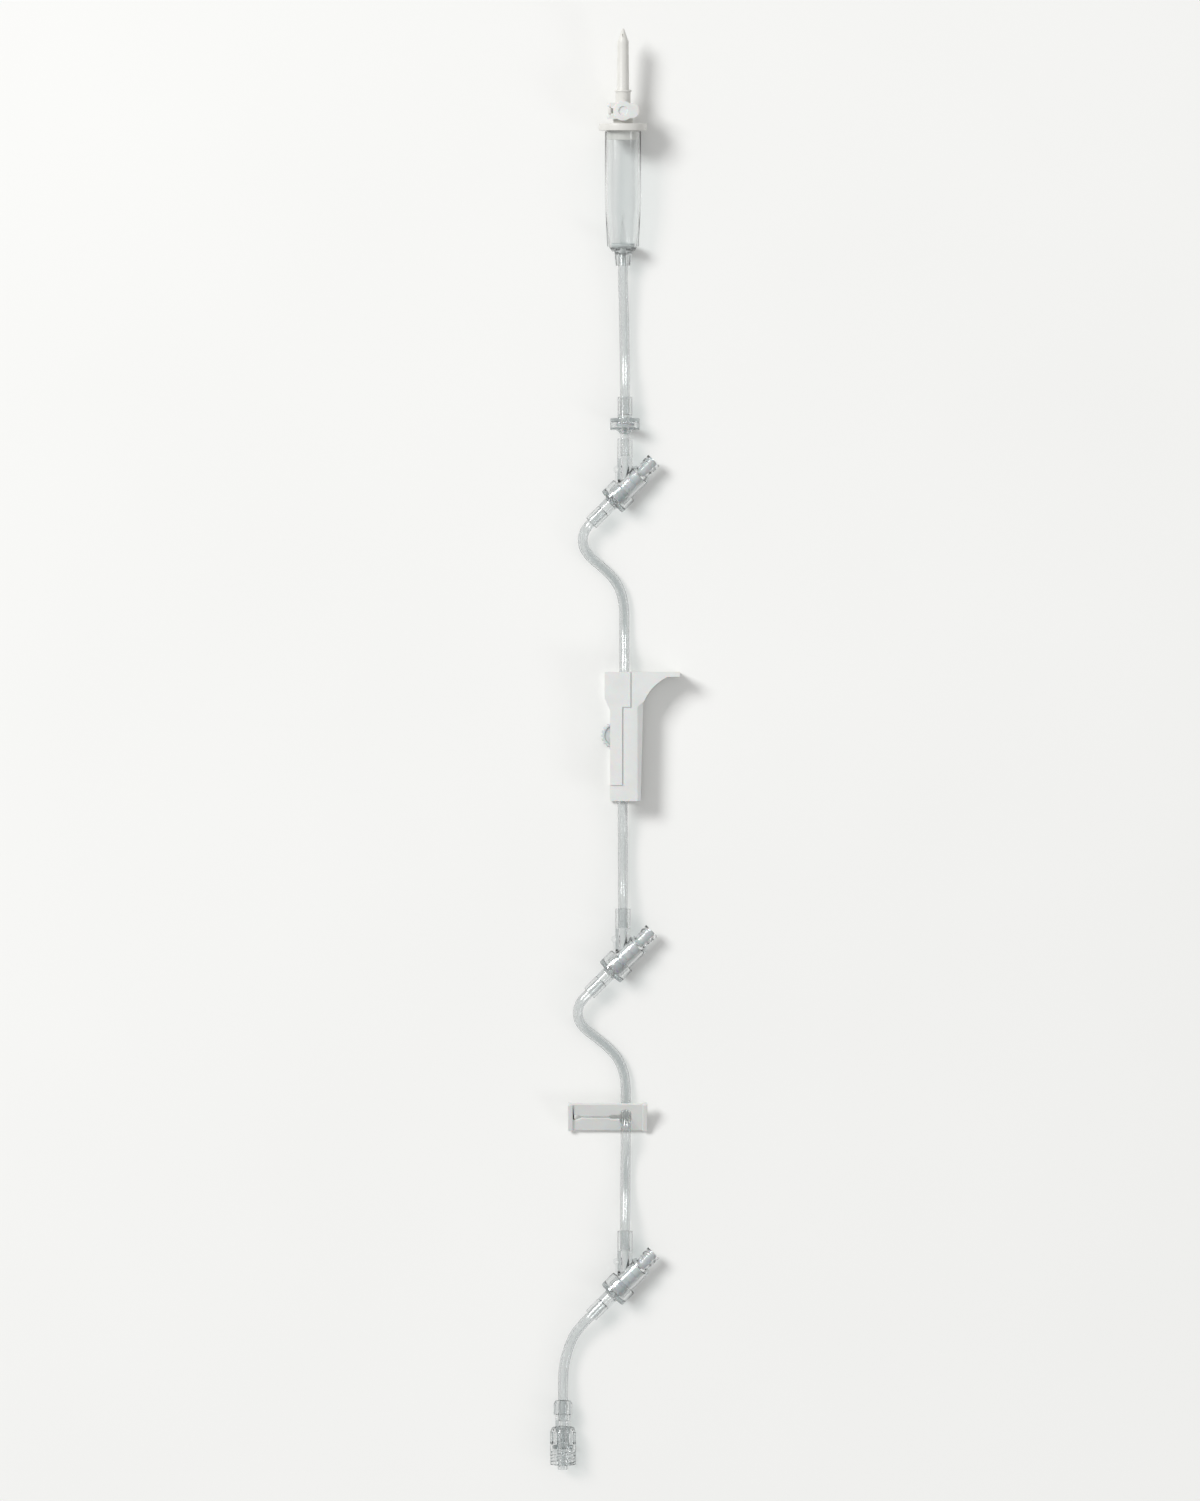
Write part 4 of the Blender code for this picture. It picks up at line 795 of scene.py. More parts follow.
spike_profile = [
    (0, FLANGE - DROPPER_LENGTH),
    (DROPPER_R, FLANGE - DROPPER_LENGTH),
    (DROPPER_R, FLANGE),
    (PLUG_R - PLUG_WALL, FLANGE),
    (PLUG_R - PLUG_WALL, FLANGE - PLUG_DEPTH),
    (PLUG_R, FLANGE - PLUG_DEPTH),
    (PLUG_R, FLANGE),
    (FLANGE_R, FLANGE),
    (FLANGE_R, HOUSING),
    (COLLAR_R, HOUSING),
    (COLLAR_R, SHOULDER),
    (SHOULDER_R, SHOULDER),
    (SHOULDER_R, SHAFT),
    (SPIKE_R, SHAFT),
    (SPIKE_TOP_R, SHAFT_TOP),
    (SPIKE_TIP_R, SPIKE_TIP),
    (0, SPIKE_TIP),
]
spike = turned("spike_cap_moulding", spike_profile, steps=72, rounding=SPIKE_ROUNDING)
to_vent = placed(0, 0, VENT, [(90, "X")])
boss = moved(rod("vent_boss", VENT_R, -VENT_BOTTOM, VENT_TOP, VENT_ROUNDING, steps=64), to_vent)
foot = block(
    "vent_foot",
    (-VENT_FOOT_HALF, FLANGE + FLANGE_THICK / 2 - VENT, -VENT_FOOT_DEPTH),
    (VENT_FOOT_HALF, -VENT_R / 2, VENT_FOOT_DEPTH),
    SPIKE_ROUNDING,
)
moved(foot, to_vent)
web = block(
    "hinge_web",
    (HINGE_LUG_R / 2 - HINGE_OUT, -HINGE_WEB_HALF, HINGE_WEB_FOOT),
    (VENT_SEAT_R / 4 - VENT_R, HINGE_WEB_HALF, HINGE_WEB_TOP),
)
moved(web, to_vent)
half_hinge = [
    (0, -HINGE_ROD_HALF),
    (HINGE_ROD_R, -HINGE_ROD_HALF),
    (HINGE_ROD_R, -HINGE_LUG_HALF),
    (HINGE_LUG_R, -HINGE_LUG_HALF),
]
hinge_profile = half_hinge + [(radius, -height) for radius, height in reversed(half_hinge)]
to_hinge = to_vent @ placed(-HINGE_OUT, 0, HINGE_HEIGHT)
hinge = turned("hinge_rod", hinge_profile, steps=32, rounding=HINGE_ROUNDING)
moved(hinge, to_hinge @ rotated(90, "X"))
worked(spike, "UNION", boss, foot, web, hinge)
seat_profile = [
    (0, AIR_BORE_OFFSET - AIR_BORE_R / 2),
    (VENT_BORE_R, AIR_BORE_OFFSET - AIR_BORE_R / 2),
    (VENT_BORE_R, VENT_SEAT),
    (VENT_SEAT_R, VENT_SEAT),
    (VENT_SEAT_R, VENT_TOP + CUT_PAST),
    (0, VENT_TOP + CUT_PAST),
]
vent_bores = moved(turned("vent_bores", seat_profile, steps=60), to_vent)
fluid_foot = FLANGE - DROPPER_LENGTH - CUT_PAST
fluid_bore = rod("fluid_bore", FLUID_BORE_R, fluid_foot, SPIKE_TIP - FLUID_MOUTH_BACK, steps=30)
moved(fluid_bore, placed(0, FLUID_BORE_OFFSET, 0))
air_foot = VENT - VENT_BORE_R / 2
air_bore = rod("air_bore", AIR_BORE_R, air_foot, SPIKE_TIP - AIR_MOUTH_BACK, steps=20)
moved(air_bore, placed(0, -AIR_BORE_OFFSET, 0))
worked(spike, "DIFFERENCE", vent_bores, fluid_bore, air_bore)
dressed(spike, spike_axis, moulded_abs, "spike_cap")

# Vent filter and vent cap
# The filter is a disc of water-repellent PTFE membrane that lets air in and keeps fluid back. The cap is a
# soft polyethylene flap with a thumb tab, a sealing plug and two knuckles snapped over the hinge rod.
MEMBRANE_R = 2.45
MEMBRANE_BOTTOM = VENT_SEAT + 0.3
MEMBRANE_TOP = MEMBRANE_BOTTOM + 0.5
MEMBRANE_EDGE = 0.08
CAP_BOTTOM = 4.9
CAP_THICK = 1.3
CAP_TAB_REACH = 6.4
CAP_TAB_HALF = 3.0
CAP_TAB_CORNER = 2.6
CAP_DISH_R = 2.0
CAP_DISH_DEPTH = 0.5
CAP_DISH_SLOPE = 0.2
CAP_PLUG_R = VENT_SEAT_R - 0.3
CAP_PLUG_WALL = 0.7
CAP_PLUG_FOOT = MEMBRANE_TOP + 0.3
CAP_PLUG_TOP = CAP_BOTTOM + 0.4
CAP_ROUNDING = 0.15
CAP_ARM_FOOT = CAP_BOTTOM + 0.15
CAP_ARM_THICK = 0.8
CAP_EDGE = 0.25
KNUCKLE_R = 0.95
KNUCKLE_INNER = 1.6
KNUCKLE_OUTER = 3.2
KNUCKLE_BORE_R = 0.65
KNUCKLE_BORE_HALF = 8.0

# Expanded PTFE: dead matt paper white, with fibres about 0.12 mm across
ptfe_membrane = plastic(
    "ptfe_membrane",
    pale="#F6F6F3",
    shade="#EBEBE7",
    roughness=(0.85, 0.95),
    grain=0.12,
    grain_depth=0.02,
    IOR=1.38,
)


def polyethylene(name, pale, shade, milkiness):
    """Moulded polyethylene: waxy and faintly translucent, with the 0.3 mm grain of a spark-eroded mould."""
    return plastic(
        name,
        pale,
        shade,
        roughness=(0.38, 0.52),
        grain=0.3,
        grain_depth=0.01,
        IOR=1.51,
        Subsurface_Weight=milkiness,
        Subsurface_Scale=1.0 * MM,
    )


white_polyethylene = polyethylene("moulded_white_polyethylene", "#E4E6E4", "#DADCDA", milkiness=0.25)


def arc(centre, radius, first, last, steps):
    """Points on an arc between two angles in degrees, its two ends included."""
    points = []
    for step in range(steps + 1):
        angle = math.radians(first + (last - first) * step / steps)
        points.append((centre[0] + radius * math.cos(angle), centre[1] + radius * math.sin(angle)))
    return points


vent_axis = spike_axis @ to_vent
membrane = rod("vent_filter_disc", MEMBRANE_R, MEMBRANE_BOTTOM, MEMBRANE_TOP, MEMBRANE_EDGE)
dressed(membrane, vent_axis, ptfe_membrane, "vent_filter")

cap_top = CAP_BOTTOM + CAP_THICK
tab_start = math.degrees(math.asin(CAP_TAB_HALF / VENT_R))
tab_x = CAP_TAB_REACH - CAP_TAB_CORNER
tab_y = CAP_TAB_HALF - CAP_TAB_CORNER
cap_outline = arc((0, 0), VENT_R, tab_start, 360 - tab_start, steps=60)
cap_outline += arc((tab_x, -tab_y), CAP_TAB_CORNER, -90, 0, steps=8)
cap_outline += arc((tab_x, tab_y), CAP_TAB_CORNER, 0, 90, steps=8)
cap = rounded_edges(slab("vent_cap_flap", cap_outline, CAP_BOTTOM, cap_top), CAP_EDGE, segments=3)
plug_profile = [
    (CAP_PLUG_R - CAP_PLUG_WALL, CAP_PLUG_FOOT),
    (CAP_PLUG_R, CAP_PLUG_FOOT),
    (CAP_PLUG_R, CAP_PLUG_TOP),
    (CAP_PLUG_R - CAP_PLUG_WALL, CAP_PLUG_TOP),
]
cap_parts = [turned("cap_plug", plug_profile, steps=56, rounding=CAP_ROUNDING)]
from_vent = placed(-HINGE_OUT, 0, HINGE_HEIGHT)
for side in (-1, 1):
    low, high = sorted((side * KNUCKLE_INNER, side * KNUCKLE_OUTER))
    arm_start = (-HINGE_OUT, low, CAP_ARM_FOOT)
    arm_end = (-VENT_R / 2, high, CAP_ARM_FOOT + CAP_ARM_THICK)
    cap_parts.append(block(f"cap_arm_{side}", arm_start, arm_end))
    knuckle = rod(f"cap_knuckle_{side}", KNUCKLE_R, -high, -low, CAP_ROUNDING, steps=32)
    cap_parts.append(moved(knuckle, from_vent @ rotated(90, "X")))
worked(cap, "UNION", *cap_parts)
dish_profile = [
    (0, cap_top - CAP_DISH_DEPTH),
    (CAP_DISH_R - CAP_DISH_SLOPE, cap_top - CAP_DISH_DEPTH),
    (CAP_DISH_R, cap_top + CUT_PAST),
    (0, cap_top + CUT_PAST),
]
dish = turned("cap_dish", dish_profile, steps=52, rounding=CAP_EDGE)
hinge_bore = rod("hinge_bore", KNUCKLE_BORE_R, -KNUCKLE_BORE_HALF, KNUCKLE_BORE_HALF, steps=28)
moved(hinge_bore, from_vent @ rotated(90, "X"))
worked(cap, "DIFFERENCE", dish, hinge_bore)
dressed(cap, vent_axis, white_polyethylene, "vent_cap")

# Check valve
# Two clear halves welded face to face round a loose silicone disc. The disc lies on four posts when fluid
# runs down, and is pushed up against its seat when fluid comes back. Heights run from the leg's top.
LEG_LENGTH = 20.3
VALVE_R = 5.9
VALVE_NECK_R = 1.7
VALVE_NECK = 1.84
VALVE_STUB = 7.0
VALVE_CONE_R = 3.4
DISC_FOOT = VALVE_NECK + 1.6
DISC_TOP = DISC_FOOT + 4.6
PARTING = DISC_FOOT + 3.0
CAVITY_FLOOR = DISC_FOOT + 0.8
CAVITY_R = 4.0
VALVE_BORE_R = 1.1
VALVE_POST_R = 0.45
VALVE_POST_RING = 2.5
VALVE_POST_TOP = CAVITY_FLOOR + 0.5
VALVE_POST_SINK = 0.3
VALVE_POST_TURN = 7
VALVE_POST_EDGE = 0.1
INLET_CAVITY_R = CAVITY_R - 0.1
OUTLET_ROUNDING = 0.25
INLET_ROUNDING = 0.22
SEAT_R = 2.1
SEAT_FACE = 5.84
SEAT_HEIGHT = 0.3
SLEEVE_R = 2.9
SLEEVE_TOP = DISC_TOP + 8.6
SLEEVE_SOCKET = SLEEVE_TOP - 7.2
DIAPHRAGM_R = CAVITY_R - 0.3
DIAPHRAGM_BOTTOM = 5.09
DIAPHRAGM_TOP = 5.59
DIAPHRAGM_EDGE = 0.15
WELD_BEAD = 0.12
PORT_PLACES = [(3.98, 104.18), (3.16, -83.86), (4.0, -212.78)]
PORT_HEIGHT = 5.9

# Cured silicone rubber: milky and translucent with a soft sheen and a very fine matt skin
cured_silicone = plastic(
    "cured_silicone",
    pale="#DDE0E1",
    shade="#CFD3D5",
    roughness=(0.42, 0.55),
    grain=0.25,
    grain_depth=0.004,
    IOR=1.42,
    Transmission_Weight=0.25,
    Subsurface_Weight=0.35,
    Subsurface_Scale=1.2 * MM,
)

barrels = [placed(x, y, PORT_HEIGHT, [(-45, "Z"), (-90, "X")]) for x, y in PORT_PLACES]
to_leg = rotated(-45, "Y")
valve_axis = barrels[0] @ to_leg @ placed(0, 0, LEG_LENGTH)
outlet_profile = [
    (VALVE_NECK_R, -VALVE_STUB),
    (VALVE_NECK_R, VALVE_NECK),
    (VALVE_CONE_R, DISC_FOOT),
    (VALVE_R, DISC_FOOT),
    (VALVE_R, PARTING),
    (CAVITY_R, PARTING),
    (CAVITY_R, CAVITY_FLOOR),
    (VALVE_BORE_R, CAVITY_FLOOR),
    (VALVE_BORE_R, -VALVE_STUB),
]
valve_outlet = turned("check_valve_outlet_half", outlet_profile, steps=80, rounding=OUTLET_ROUNDING)
posts = []
for quarter in range(4):
    low = CAVITY_FLOOR - VALVE_POST_SINK
    post = rod(f"valve_post_{quarter}", VALVE_POST_R, low, VALVE_POST_TOP, VALVE_POST_EDGE, steps=20)
    angle = math.radians(90 * quarter + VALVE_POST_TURN)
    x, y = VALVE_POST_RING * math.cos(angle), VALVE_POST_RING * math.sin(angle)
    posts.append(moved(post, placed(x, y, 0)))
worked(valve_outlet, "UNION", *posts)
dressed(valve_outlet, valve_axis, polished_acrylic, "check_valve_outlet")

inlet_profile = [
    (VALVE_BORE_R, SEAT_FACE),
    (SEAT_R, SEAT_FACE),
    (SEAT_R, SEAT_FACE + SEAT_HEIGHT),
    (INLET_CAVITY_R, SEAT_FACE + SEAT_HEIGHT),
    (INLET_CAVITY_R, PARTING + WELD_BEAD),
    (VALVE_R, PARTING + WELD_BEAD),
    (VALVE_R, DISC_TOP),
    (SLEEVE_R, DISC_TOP),
    (SLEEVE_R, SLEEVE_TOP),
    (SOCKET_R, SLEEVE_TOP),
    (SOCKET_R, SLEEVE_SOCKET),
    (VALVE_BORE_R, SLEEVE_SOCKET),
]
valve_inlet = turned("check_valve_inlet_half", inlet_profile, steps=80, rounding=INLET_ROUNDING)
dressed(valve_inlet, valve_axis, polished_acrylic, "check_valve_inlet")
diaphragm = rod(
    "check_valve_disc", DIAPHRAGM_R, DIAPHRAGM_BOTTOM, DIAPHRAGM_TOP, DIAPHRAGM_EDGE, steps=60
)
dressed(diaphragm, valve_axis, cured_silicone, "check_valve_diaphragm")

# Needle-free ports
# Three alike: a clear body with the inflow leg, the barrel and a two-start luer thread, welded into a
# clear base with the outflow sleeve. A folded silicone piston with a slit closes the mouth of the barrel.
# Heights run up the barrel from where the leg's axis meets it.
LEG_R = 3.0
LEG_SOCKET = LEG_LENGTH - 8.0
PORT_BORE_R = 1.2
BARREL_R = 4.35
BARREL_BORE_R = 3.4
BARREL_TOP = 8.6
BARREL_FOOT = -4.6
NECK_FOOT = 10.0
NECK_TOP = 16.3
NECK_SHOULDER_R = 3.4
THREAD_ROOT_R = 2.75
THREAD_CREST_R = 3.2
THREAD_LEAD = 5.0
THREAD_STARTS = 2
THREAD_FOOT = 11.3
THREAD_TOP = NECK_TOP + 0.6
THREAD_HALF = 0.36
THREAD_FLANK = 0.16
THREAD_RUN_IN = 0.8
THREAD_RUN_OUT = 0.4
NECK_RINGS = 48
LUER_MOUTH_R = 2.1
LUER_THROAT_R = 2.0
MOUTH_FLARE_R = LUER_MOUTH_R + 0.25
MOUTH_FLARE_FOOT = NECK_TOP - 0.2
MOUTH_FLARE_TOP = NECK_TOP + 0.05
BORE_SHOULDER = 7.65
THROAT_FOOT = 9.05
EYELET_R = 1.45
EYELET_HOLE_R = 0.6
EYELET_HALF = 0.8
EYELET_CUT_HALF = 2.0
EYELET_OUT = 3.2
EYELET_UP = 8.0
EYELET_WEB_HALF = 0.6
EYELET_WEB_IN = 1.2
EYELET_WEB_FOOT = 3.5
EYELET_WEB_TOP = EYELET_UP - 0.7
BASE_R = 5.9
BASE_TOP = -0.5
BASE_BOTTOM = -7.5
CUP_FLOOR = -5.9
BASE_ROUNDING = 0.9
BODY_ROUNDING = 0.3
LEG_ROUNDING = 0.25
BASE_SLEEVE_R = 2.85
BASE_SLEEVE_MOUTH = -19.1
BASE_SOCKET = -12.1
CROSS_HALF = 0.6
CROSS_DEPTH = 0.6
PISTON_R = 2.3
PISTON_FOOT_R = 3.0
PISTON_FOOT = -5.6
PISTON_FOOT_TOP = -4.9
PISTON_SHOULDER = 7.3
PISTON_FOLDS = 3
PISTON_FOLD_DEPTH = 0.4
PISTON_NECK_R = 1.9
PISTON_NECK_FOOT = THROAT_FOOT - 0.35
PISTON_TOP = 16.2
SLIT_LENGTH = 2.4
SLIT_WIDTH = 0.12
SLIT_DEPTH = 1.5


def eased(share):
    """Ease from 0 to 1, and stay there."""
    share = min(max(share, 0.0), 1.0)
    return share * share * (3 - 2 * share)


def thread(root, crest, foot, top):
    """A ripple that winds a two-start thread round a neck or, with its crest inside its root, in a
    collar. The thread's half width and its flanks are shares of the pitch, and it fades in and out."""

    def ripple(radius, height, angle):
        if radius != root or not foot < height < top:
            return radius
        turn = (height / THREAD_LEAD - angle / (2 * math.pi)) * THREAD_STARTS % 1.0
        ridge = eased((THREAD_HALF - abs(turn - 0.5)) / THREAD_FLANK)
        faded = eased((height - foot) / THREAD_RUN_IN) * eased((top - height) / THREAD_RUN_OUT)
        return root + (crest - root) * ridge * faded

    return ripple


def stations(low, high, count):
    """Heights at even steps, both ends included."""
    return [low + (high - low) * index / count for index in range(count + 1)]


def port_body(name):
    """The barrel with its threaded neck, and the leg and its eyelet, bored for the piston, luer and tube."""
    neck = [(THREAD_ROOT_R, height) for height in stations(NECK_FOOT, NECK_TOP, NECK_RINGS)]
    shoulder = softened(
        [
            (0, BARREL_FOOT),
            (BARREL_R, BARREL_FOOT),
            (BARREL_R, BARREL_TOP),
            (NECK_SHOULDER_R, NECK_FOOT),
            (THREAD_ROOT_R, NECK_FOOT),
        ],
        BODY_ROUNDING,
        closed=False,
    )
    profile = [tuple(point) for point in shoulder[:-1]] + neck + [(0, NECK_TOP)]
    luer_thread = thread(THREAD_ROOT_R, THREAD_CREST_R, THREAD_FOOT, THREAD_TOP)
    piece = turned(name, profile, steps=80, ripple=luer_thread)
    leg = moved(rod("port_leg", LEG_R, 0, LEG_LENGTH, LEG_ROUNDING, steps=56), to_leg)
    across = to_leg @ placed(-EYELET_OUT, 0, EYELET_UP, [(90, "X")])
    eyelet = rod("port_eyelet", EYELET_R, -EYELET_HALF, EYELET_HALF, LEG_ROUNDING, steps=36)
    moved(eyelet, across)
    web_outside = (-EYELET_OUT - EYELET_WEB_HALF, -EYELET_WEB_HALF, EYELET_WEB_FOOT)
    web_inside = (-EYELET_OUT + EYELET_WEB_IN, EYELET_WEB_HALF, EYELET_WEB_TOP)
    web = moved(block("port_web", web_outside, web_inside, MOULD_ROUNDING), to_leg)
    worked(piece, "UNION", leg, eyelet, web)
    cavity_profile = [
        (0, BARREL_FOOT - CUT_PAST),
        (BARREL_BORE_R, BARREL_FOOT - CUT_PAST),
        (BARREL_BORE_R, BORE_SHOULDER),
        (LUER_THROAT_R, THROAT_FOOT),
        (LUER_MOUTH_R, MOUTH_FLARE_FOOT),
        (MOUTH_FLARE_R, MOUTH_FLARE_TOP),
        (MOUTH_FLARE_R, NECK_TOP + CUT_PAST),
        (0, NECK_TOP + CUT_PAST),
    ]
    cavity = turned("port_cavity", cavity_profile, steps=60)
    bore_profile = [
        (0, 0),
        (PORT_BORE_R, 0),
        (PORT_BORE_R, LEG_SOCKET),
        (SOCKET_R, LEG_SOCKET),
        (SOCKET_R, LEG_LENGTH + CUT_PAST),
        (0, LEG_LENGTH + CUT_PAST),
    ]
    bore = moved(turned("port_bore", bore_profile, steps=44), to_leg)
    hole = rod("port_eye", EYELET_HOLE_R, -EYELET_CUT_HALF, EYELET_CUT_HALF, steps=28)
    moved(hole, across)
    return worked(piece, "DIFFERENCE", cavity, bore, hole)


def port_base(name):
    """The cup that closes the barrel's foot, with crossed grooves in its floor, and the tube's sleeve."""
    profile = [
        (BASE_SLEEVE_R, BASE_SLEEVE_MOUTH),
        (BASE_SLEEVE_R, BASE_BOTTOM),
        (BASE_R, BASE_BOTTOM),
        (BASE_R, BASE_TOP),
        (BARREL_R + BOND_GAP, BASE_TOP),
        (BARREL_R + BOND_GAP, CUP_FLOOR),
        (PORT_BORE_R, CUP_FLOOR),
        (PORT_BORE_R, BASE_SOCKET),
        (SOCKET_R, BASE_SOCKET),
        (SOCKET_R, BASE_SLEEVE_MOUTH),
    ]
    piece = turned(name, profile, steps=88, rounding=BASE_ROUNDING, corner_steps=5)
    low = CUP_FLOOR - CROSS_DEPTH
    high = CUP_FLOOR + CUT_PAST
    grooves = []
    for axis, x, y in (("x", BARREL_BORE_R, CROSS_HALF), ("y", CROSS_HALF, BARREL_BORE_R)):
        grooves.append(block(f"groove_{axis}", (-x, -y, low), (x, y, high)))
    return worked(piece, "DIFFERENCE", *grooves)


def port_piston(name):
    """The silicone piston: a foot, folds that let it shorten, and a neck whose slit opens under a luer."""
    profile = [
        (0, PISTON_FOOT),
        (PISTON_FOOT_R, PISTON_FOOT),
        (PISTON_FOOT_R, PISTON_FOOT_TOP),
        (PISTON_R, PISTON_FOOT_TOP),
    ]
    pitch = (PISTON_SHOULDER - PISTON_FOOT_TOP) / (PISTON_FOLDS + 1)
    for fold in range(1, PISTON_FOLDS + 1):
        middle = PISTON_FOOT_TOP + pitch * fold
        profile += [
            (PISTON_R, middle - PISTON_FOLD_DEPTH),
            (PISTON_R - PISTON_FOLD_DEPTH, middle),
            (PISTON_R, middle + PISTON_FOLD_DEPTH),
        ]
    profile += [
        (PISTON_R, PISTON_SHOULDER),
        (PISTON_NECK_R, PISTON_NECK_FOOT),
        (PISTON_NECK_R, PISTON_TOP),
        (0, PISTON_TOP),
    ]
    piece = turned(name, profile, steps=56, rounding=MOULD_ROUNDING)
    low = (-SLIT_LENGTH / 2, -SLIT_WIDTH / 2, PISTON_TOP - SLIT_DEPTH)
    high = (SLIT_LENGTH / 2, SLIT_WIDTH / 2, PISTON_TOP + CUT_PAST)
    return worked(piece, "DIFFERENCE", block("piston_slit", low, high))


for number, barrel in enumerate(barrels, start=1):
    body = port_body(f"port_{number}_body_moulding")
    dressed(body, barrel, polished_acrylic, f"port_{number}_body")
    base = port_base(f"port_{number}_base_moulding")
    dressed(base, barrel, polished_acrylic, f"port_{number}_base")
    piston = port_piston(f"port_{number}_piston")
    dressed(piston, barrel, cured_silicone, f"port_{number}_seal")
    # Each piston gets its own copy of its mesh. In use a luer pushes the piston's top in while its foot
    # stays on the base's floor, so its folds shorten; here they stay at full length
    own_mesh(piston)

# Roller clamp
# White polyethylene track, open at the front and closed at the back by a floor that slopes towards the
# tube. Its head ends in a hook lip, raised panels stiffen its sides, and grooves carry the axle pins.
CLAMP_PLACE = (-1.96, -20.52, 6.25)
CLAMP_LENGTH = 51.6
CLAMP_FOOT_WIDTH = 12.2
CLAMP_HEAD_WIDTH = 13.2
HEAD_OUT = 2.2
HEAD_FOOT = CLAMP_LENGTH - 10.4
HEAD_SLOPE_FOOT = HEAD_FOOT - 4.8
HOOK_START = 38.8
HOOK_REACH = 27.88
HOOK_CURVE_END = 23.0
HOOK_CURVE_R = 18.6
HOOK_LIP = 2.0
CHANNEL_HALF = 4.25
CHANNEL_PAST = 6.0
SIDE_HALF = 5.65
PANEL_HALF = 6.25
FLOOR_WALL = 1.3
FLOOR_FOOT = 7.5
FLOOR_PINCH = (8.1, 8.0)
FLOOR_OPEN = (11.9, 22.0)
PANEL_WIDTH = 4.8
PANEL_HEAD_WIDTH = 8.1
PANEL_FOOT = 6.4
PANEL_HEAD_FOOT = 37.6
BACK_EDGE_X = 10.9
BACK_EDGE_DEPTH = 1.2
BACK_EDGE_TOP = 37.6
BACK_EDGE_END = (13.9, 40.2)
BACK_EDGE_VANISHES = (14.1, 0.02)
BACK_EDGE_PAST = 3.0
CLAMP_EDGE = 0.3
ROLLER_X = 1.9
ROLLER_UP = 26.2
TRACK_LOW = ROLLER_UP - 17.5
TRACK_HIGH = ROLLER_UP + 9.0
TRACK_HALF = 5.45
AXLE_ROOM = 1.3


def hook_curve(inset):
    """The concave curve under the hook, or the chute inside it, from the back up to the lip."""
    start = Vector((CLAMP_HEAD_WIDTH - inset, HOOK_START))
    end = Vector((HOOK_CURVE_END - inset, CLAMP_LENGTH - HOOK_LIP + inset))
    way = end - start
    across = Vector((way.y, -way.x)).normalized()
    centre = (start + end) / 2 + across * math.sqrt(HOOK_CURVE_R**2 - (way.length / 2) ** 2)
    first = math.degrees(math.atan2(start.y - centre.y, start.x - centre.x))
    last = math.degrees(math.atan2(end.y - centre.y, end.x - centre.x))
    if last > first:
        last -= 360
    return arc(centre, HOOK_CURVE_R, first, last, steps=24)


track_outline = [(0, 0), (CLAMP_FOOT_WIDTH, 0)]
track_outline += hook_curve(0)
track_outline += [
    (HOOK_REACH, CLAMP_LENGTH - HOOK_LIP),
    (HOOK_REACH, CLAMP_LENGTH),
    (-HEAD_OUT, CLAMP_LENGTH),
    (-HEAD_OUT, HEAD_FOOT),
    (0, HEAD_SLOPE_FOOT),
]
track = slab("roller_clamp_track", track_outline, -SIDE_HALF, SIDE_HALF)
panel_outline = [
    (0, PANEL_FOOT),
    (PANEL_WIDTH, PANEL_FOOT),
    (PANEL_WIDTH, PANEL_HEAD_FOOT),
    (PANEL_HEAD_WIDTH, PANEL_HEAD_FOOT),
    (PANEL_HEAD_WIDTH, CLAMP_LENGTH),
    (-HEAD_OUT, CLAMP_LENGTH),
    (-HEAD_OUT, HEAD_FOOT),
    (0, HEAD_SLOPE_FOOT),
]
worked(track, "UNION", slab("clamp_panels", panel_outline, -PANEL_HALF, PANEL_HALF))
chute = hook_curve(FLOOR_WALL)
channel_top = CLAMP_LENGTH + CHANNEL_PAST
channel_outline = [(-CHANNEL_PAST, -CHANNEL_PAST), (FLOOR_FOOT, -CHANNEL_PAST), (FLOOR_FOOT, 0)]
channel_outline += [FLOOR_PINCH, FLOOR_OPEN] + chute
channel_outline += [(chute[-1][0], channel_top), (-CHANNEL_PAST, channel_top)]
channel = slab("clamp_channel", channel_outline, -CHANNEL_HALF, CHANNEL_HALF)
groove_outline = arc((ROLLER_X, TRACK_HIGH), AXLE_ROOM, 0, 180, steps=16)
groove_outline += arc((ROLLER_X, TRACK_LOW), AXLE_ROOM, 180, 360, steps=16)
groove = slab("clamp_grooves", groove_outline, -TRACK_HALF, TRACK_HALF)
worked(track, "DIFFERENCE", channel, groove)
back_cuts = []
for side in (-1, 1):
    sections = []
    for up, flat_x, back, depth in (
        (-CUT_PAST, BACK_EDGE_X, CLAMP_FOOT_WIDTH, BACK_EDGE_DEPTH),
        (BACK_EDGE_TOP, BACK_EDGE_X, CLAMP_HEAD_WIDTH, BACK_EDGE_DEPTH),
        (BACK_EDGE_END[1], BACK_EDGE_END[0], *BACK_EDGE_VANISHES),
    ):
        sections.append(
            [
                (flat_x, up, side * SIDE_HALF),
                (back, up, side * (SIDE_HALF - depth)),
                (back + BACK_EDGE_PAST, up, side * (SIDE_HALF - depth)),
                (back + BACK_EDGE_PAST, up, side * (SIDE_HALF + CUT_PAST)),
                (flat_x, up, side * (SIDE_HALF + CUT_PAST)),
            ]
        )
    back_cuts.append(solid(f"back_edge_{side}", sections))
worked(track, "DIFFERENCE", *back_cuts)
rounded_edges(track, CLAMP_EDGE)
clamp_corner = placed(*CLAMP_PLACE)
dressed(track, clamp_corner, white_polyethylene, "roller_clamp_body")

# Roller
# Polyethylene wheel with twenty grip teeth, dished on both faces and moulded with its two axle pins. It is
# painted
# greyer than the track: a painted shade, given as polyethylene without pigment. It slides along the grooves
# of the track and squeezes the tube against the sloping floor.
ROLLER_R = 5.5
ROLLER_HALF = 3.95
ROLLER_TEETH = 20
TOOTH_DEPTH = 0.45
PIN_R = 1.0
PIN_END = 4.95
DISH_R = 4.1
DISH_HUB_R = 1.9
DISH_DEPTH = 0.5
DISH_SLOPE = 0.1
ROLLER_BEVEL = (0.7, 0.6)
ROLLER_ROUNDING = 0.15
TEETH_FROM_R = ROLLER_R - 0.6
TOOTH_CROWN = 1.4
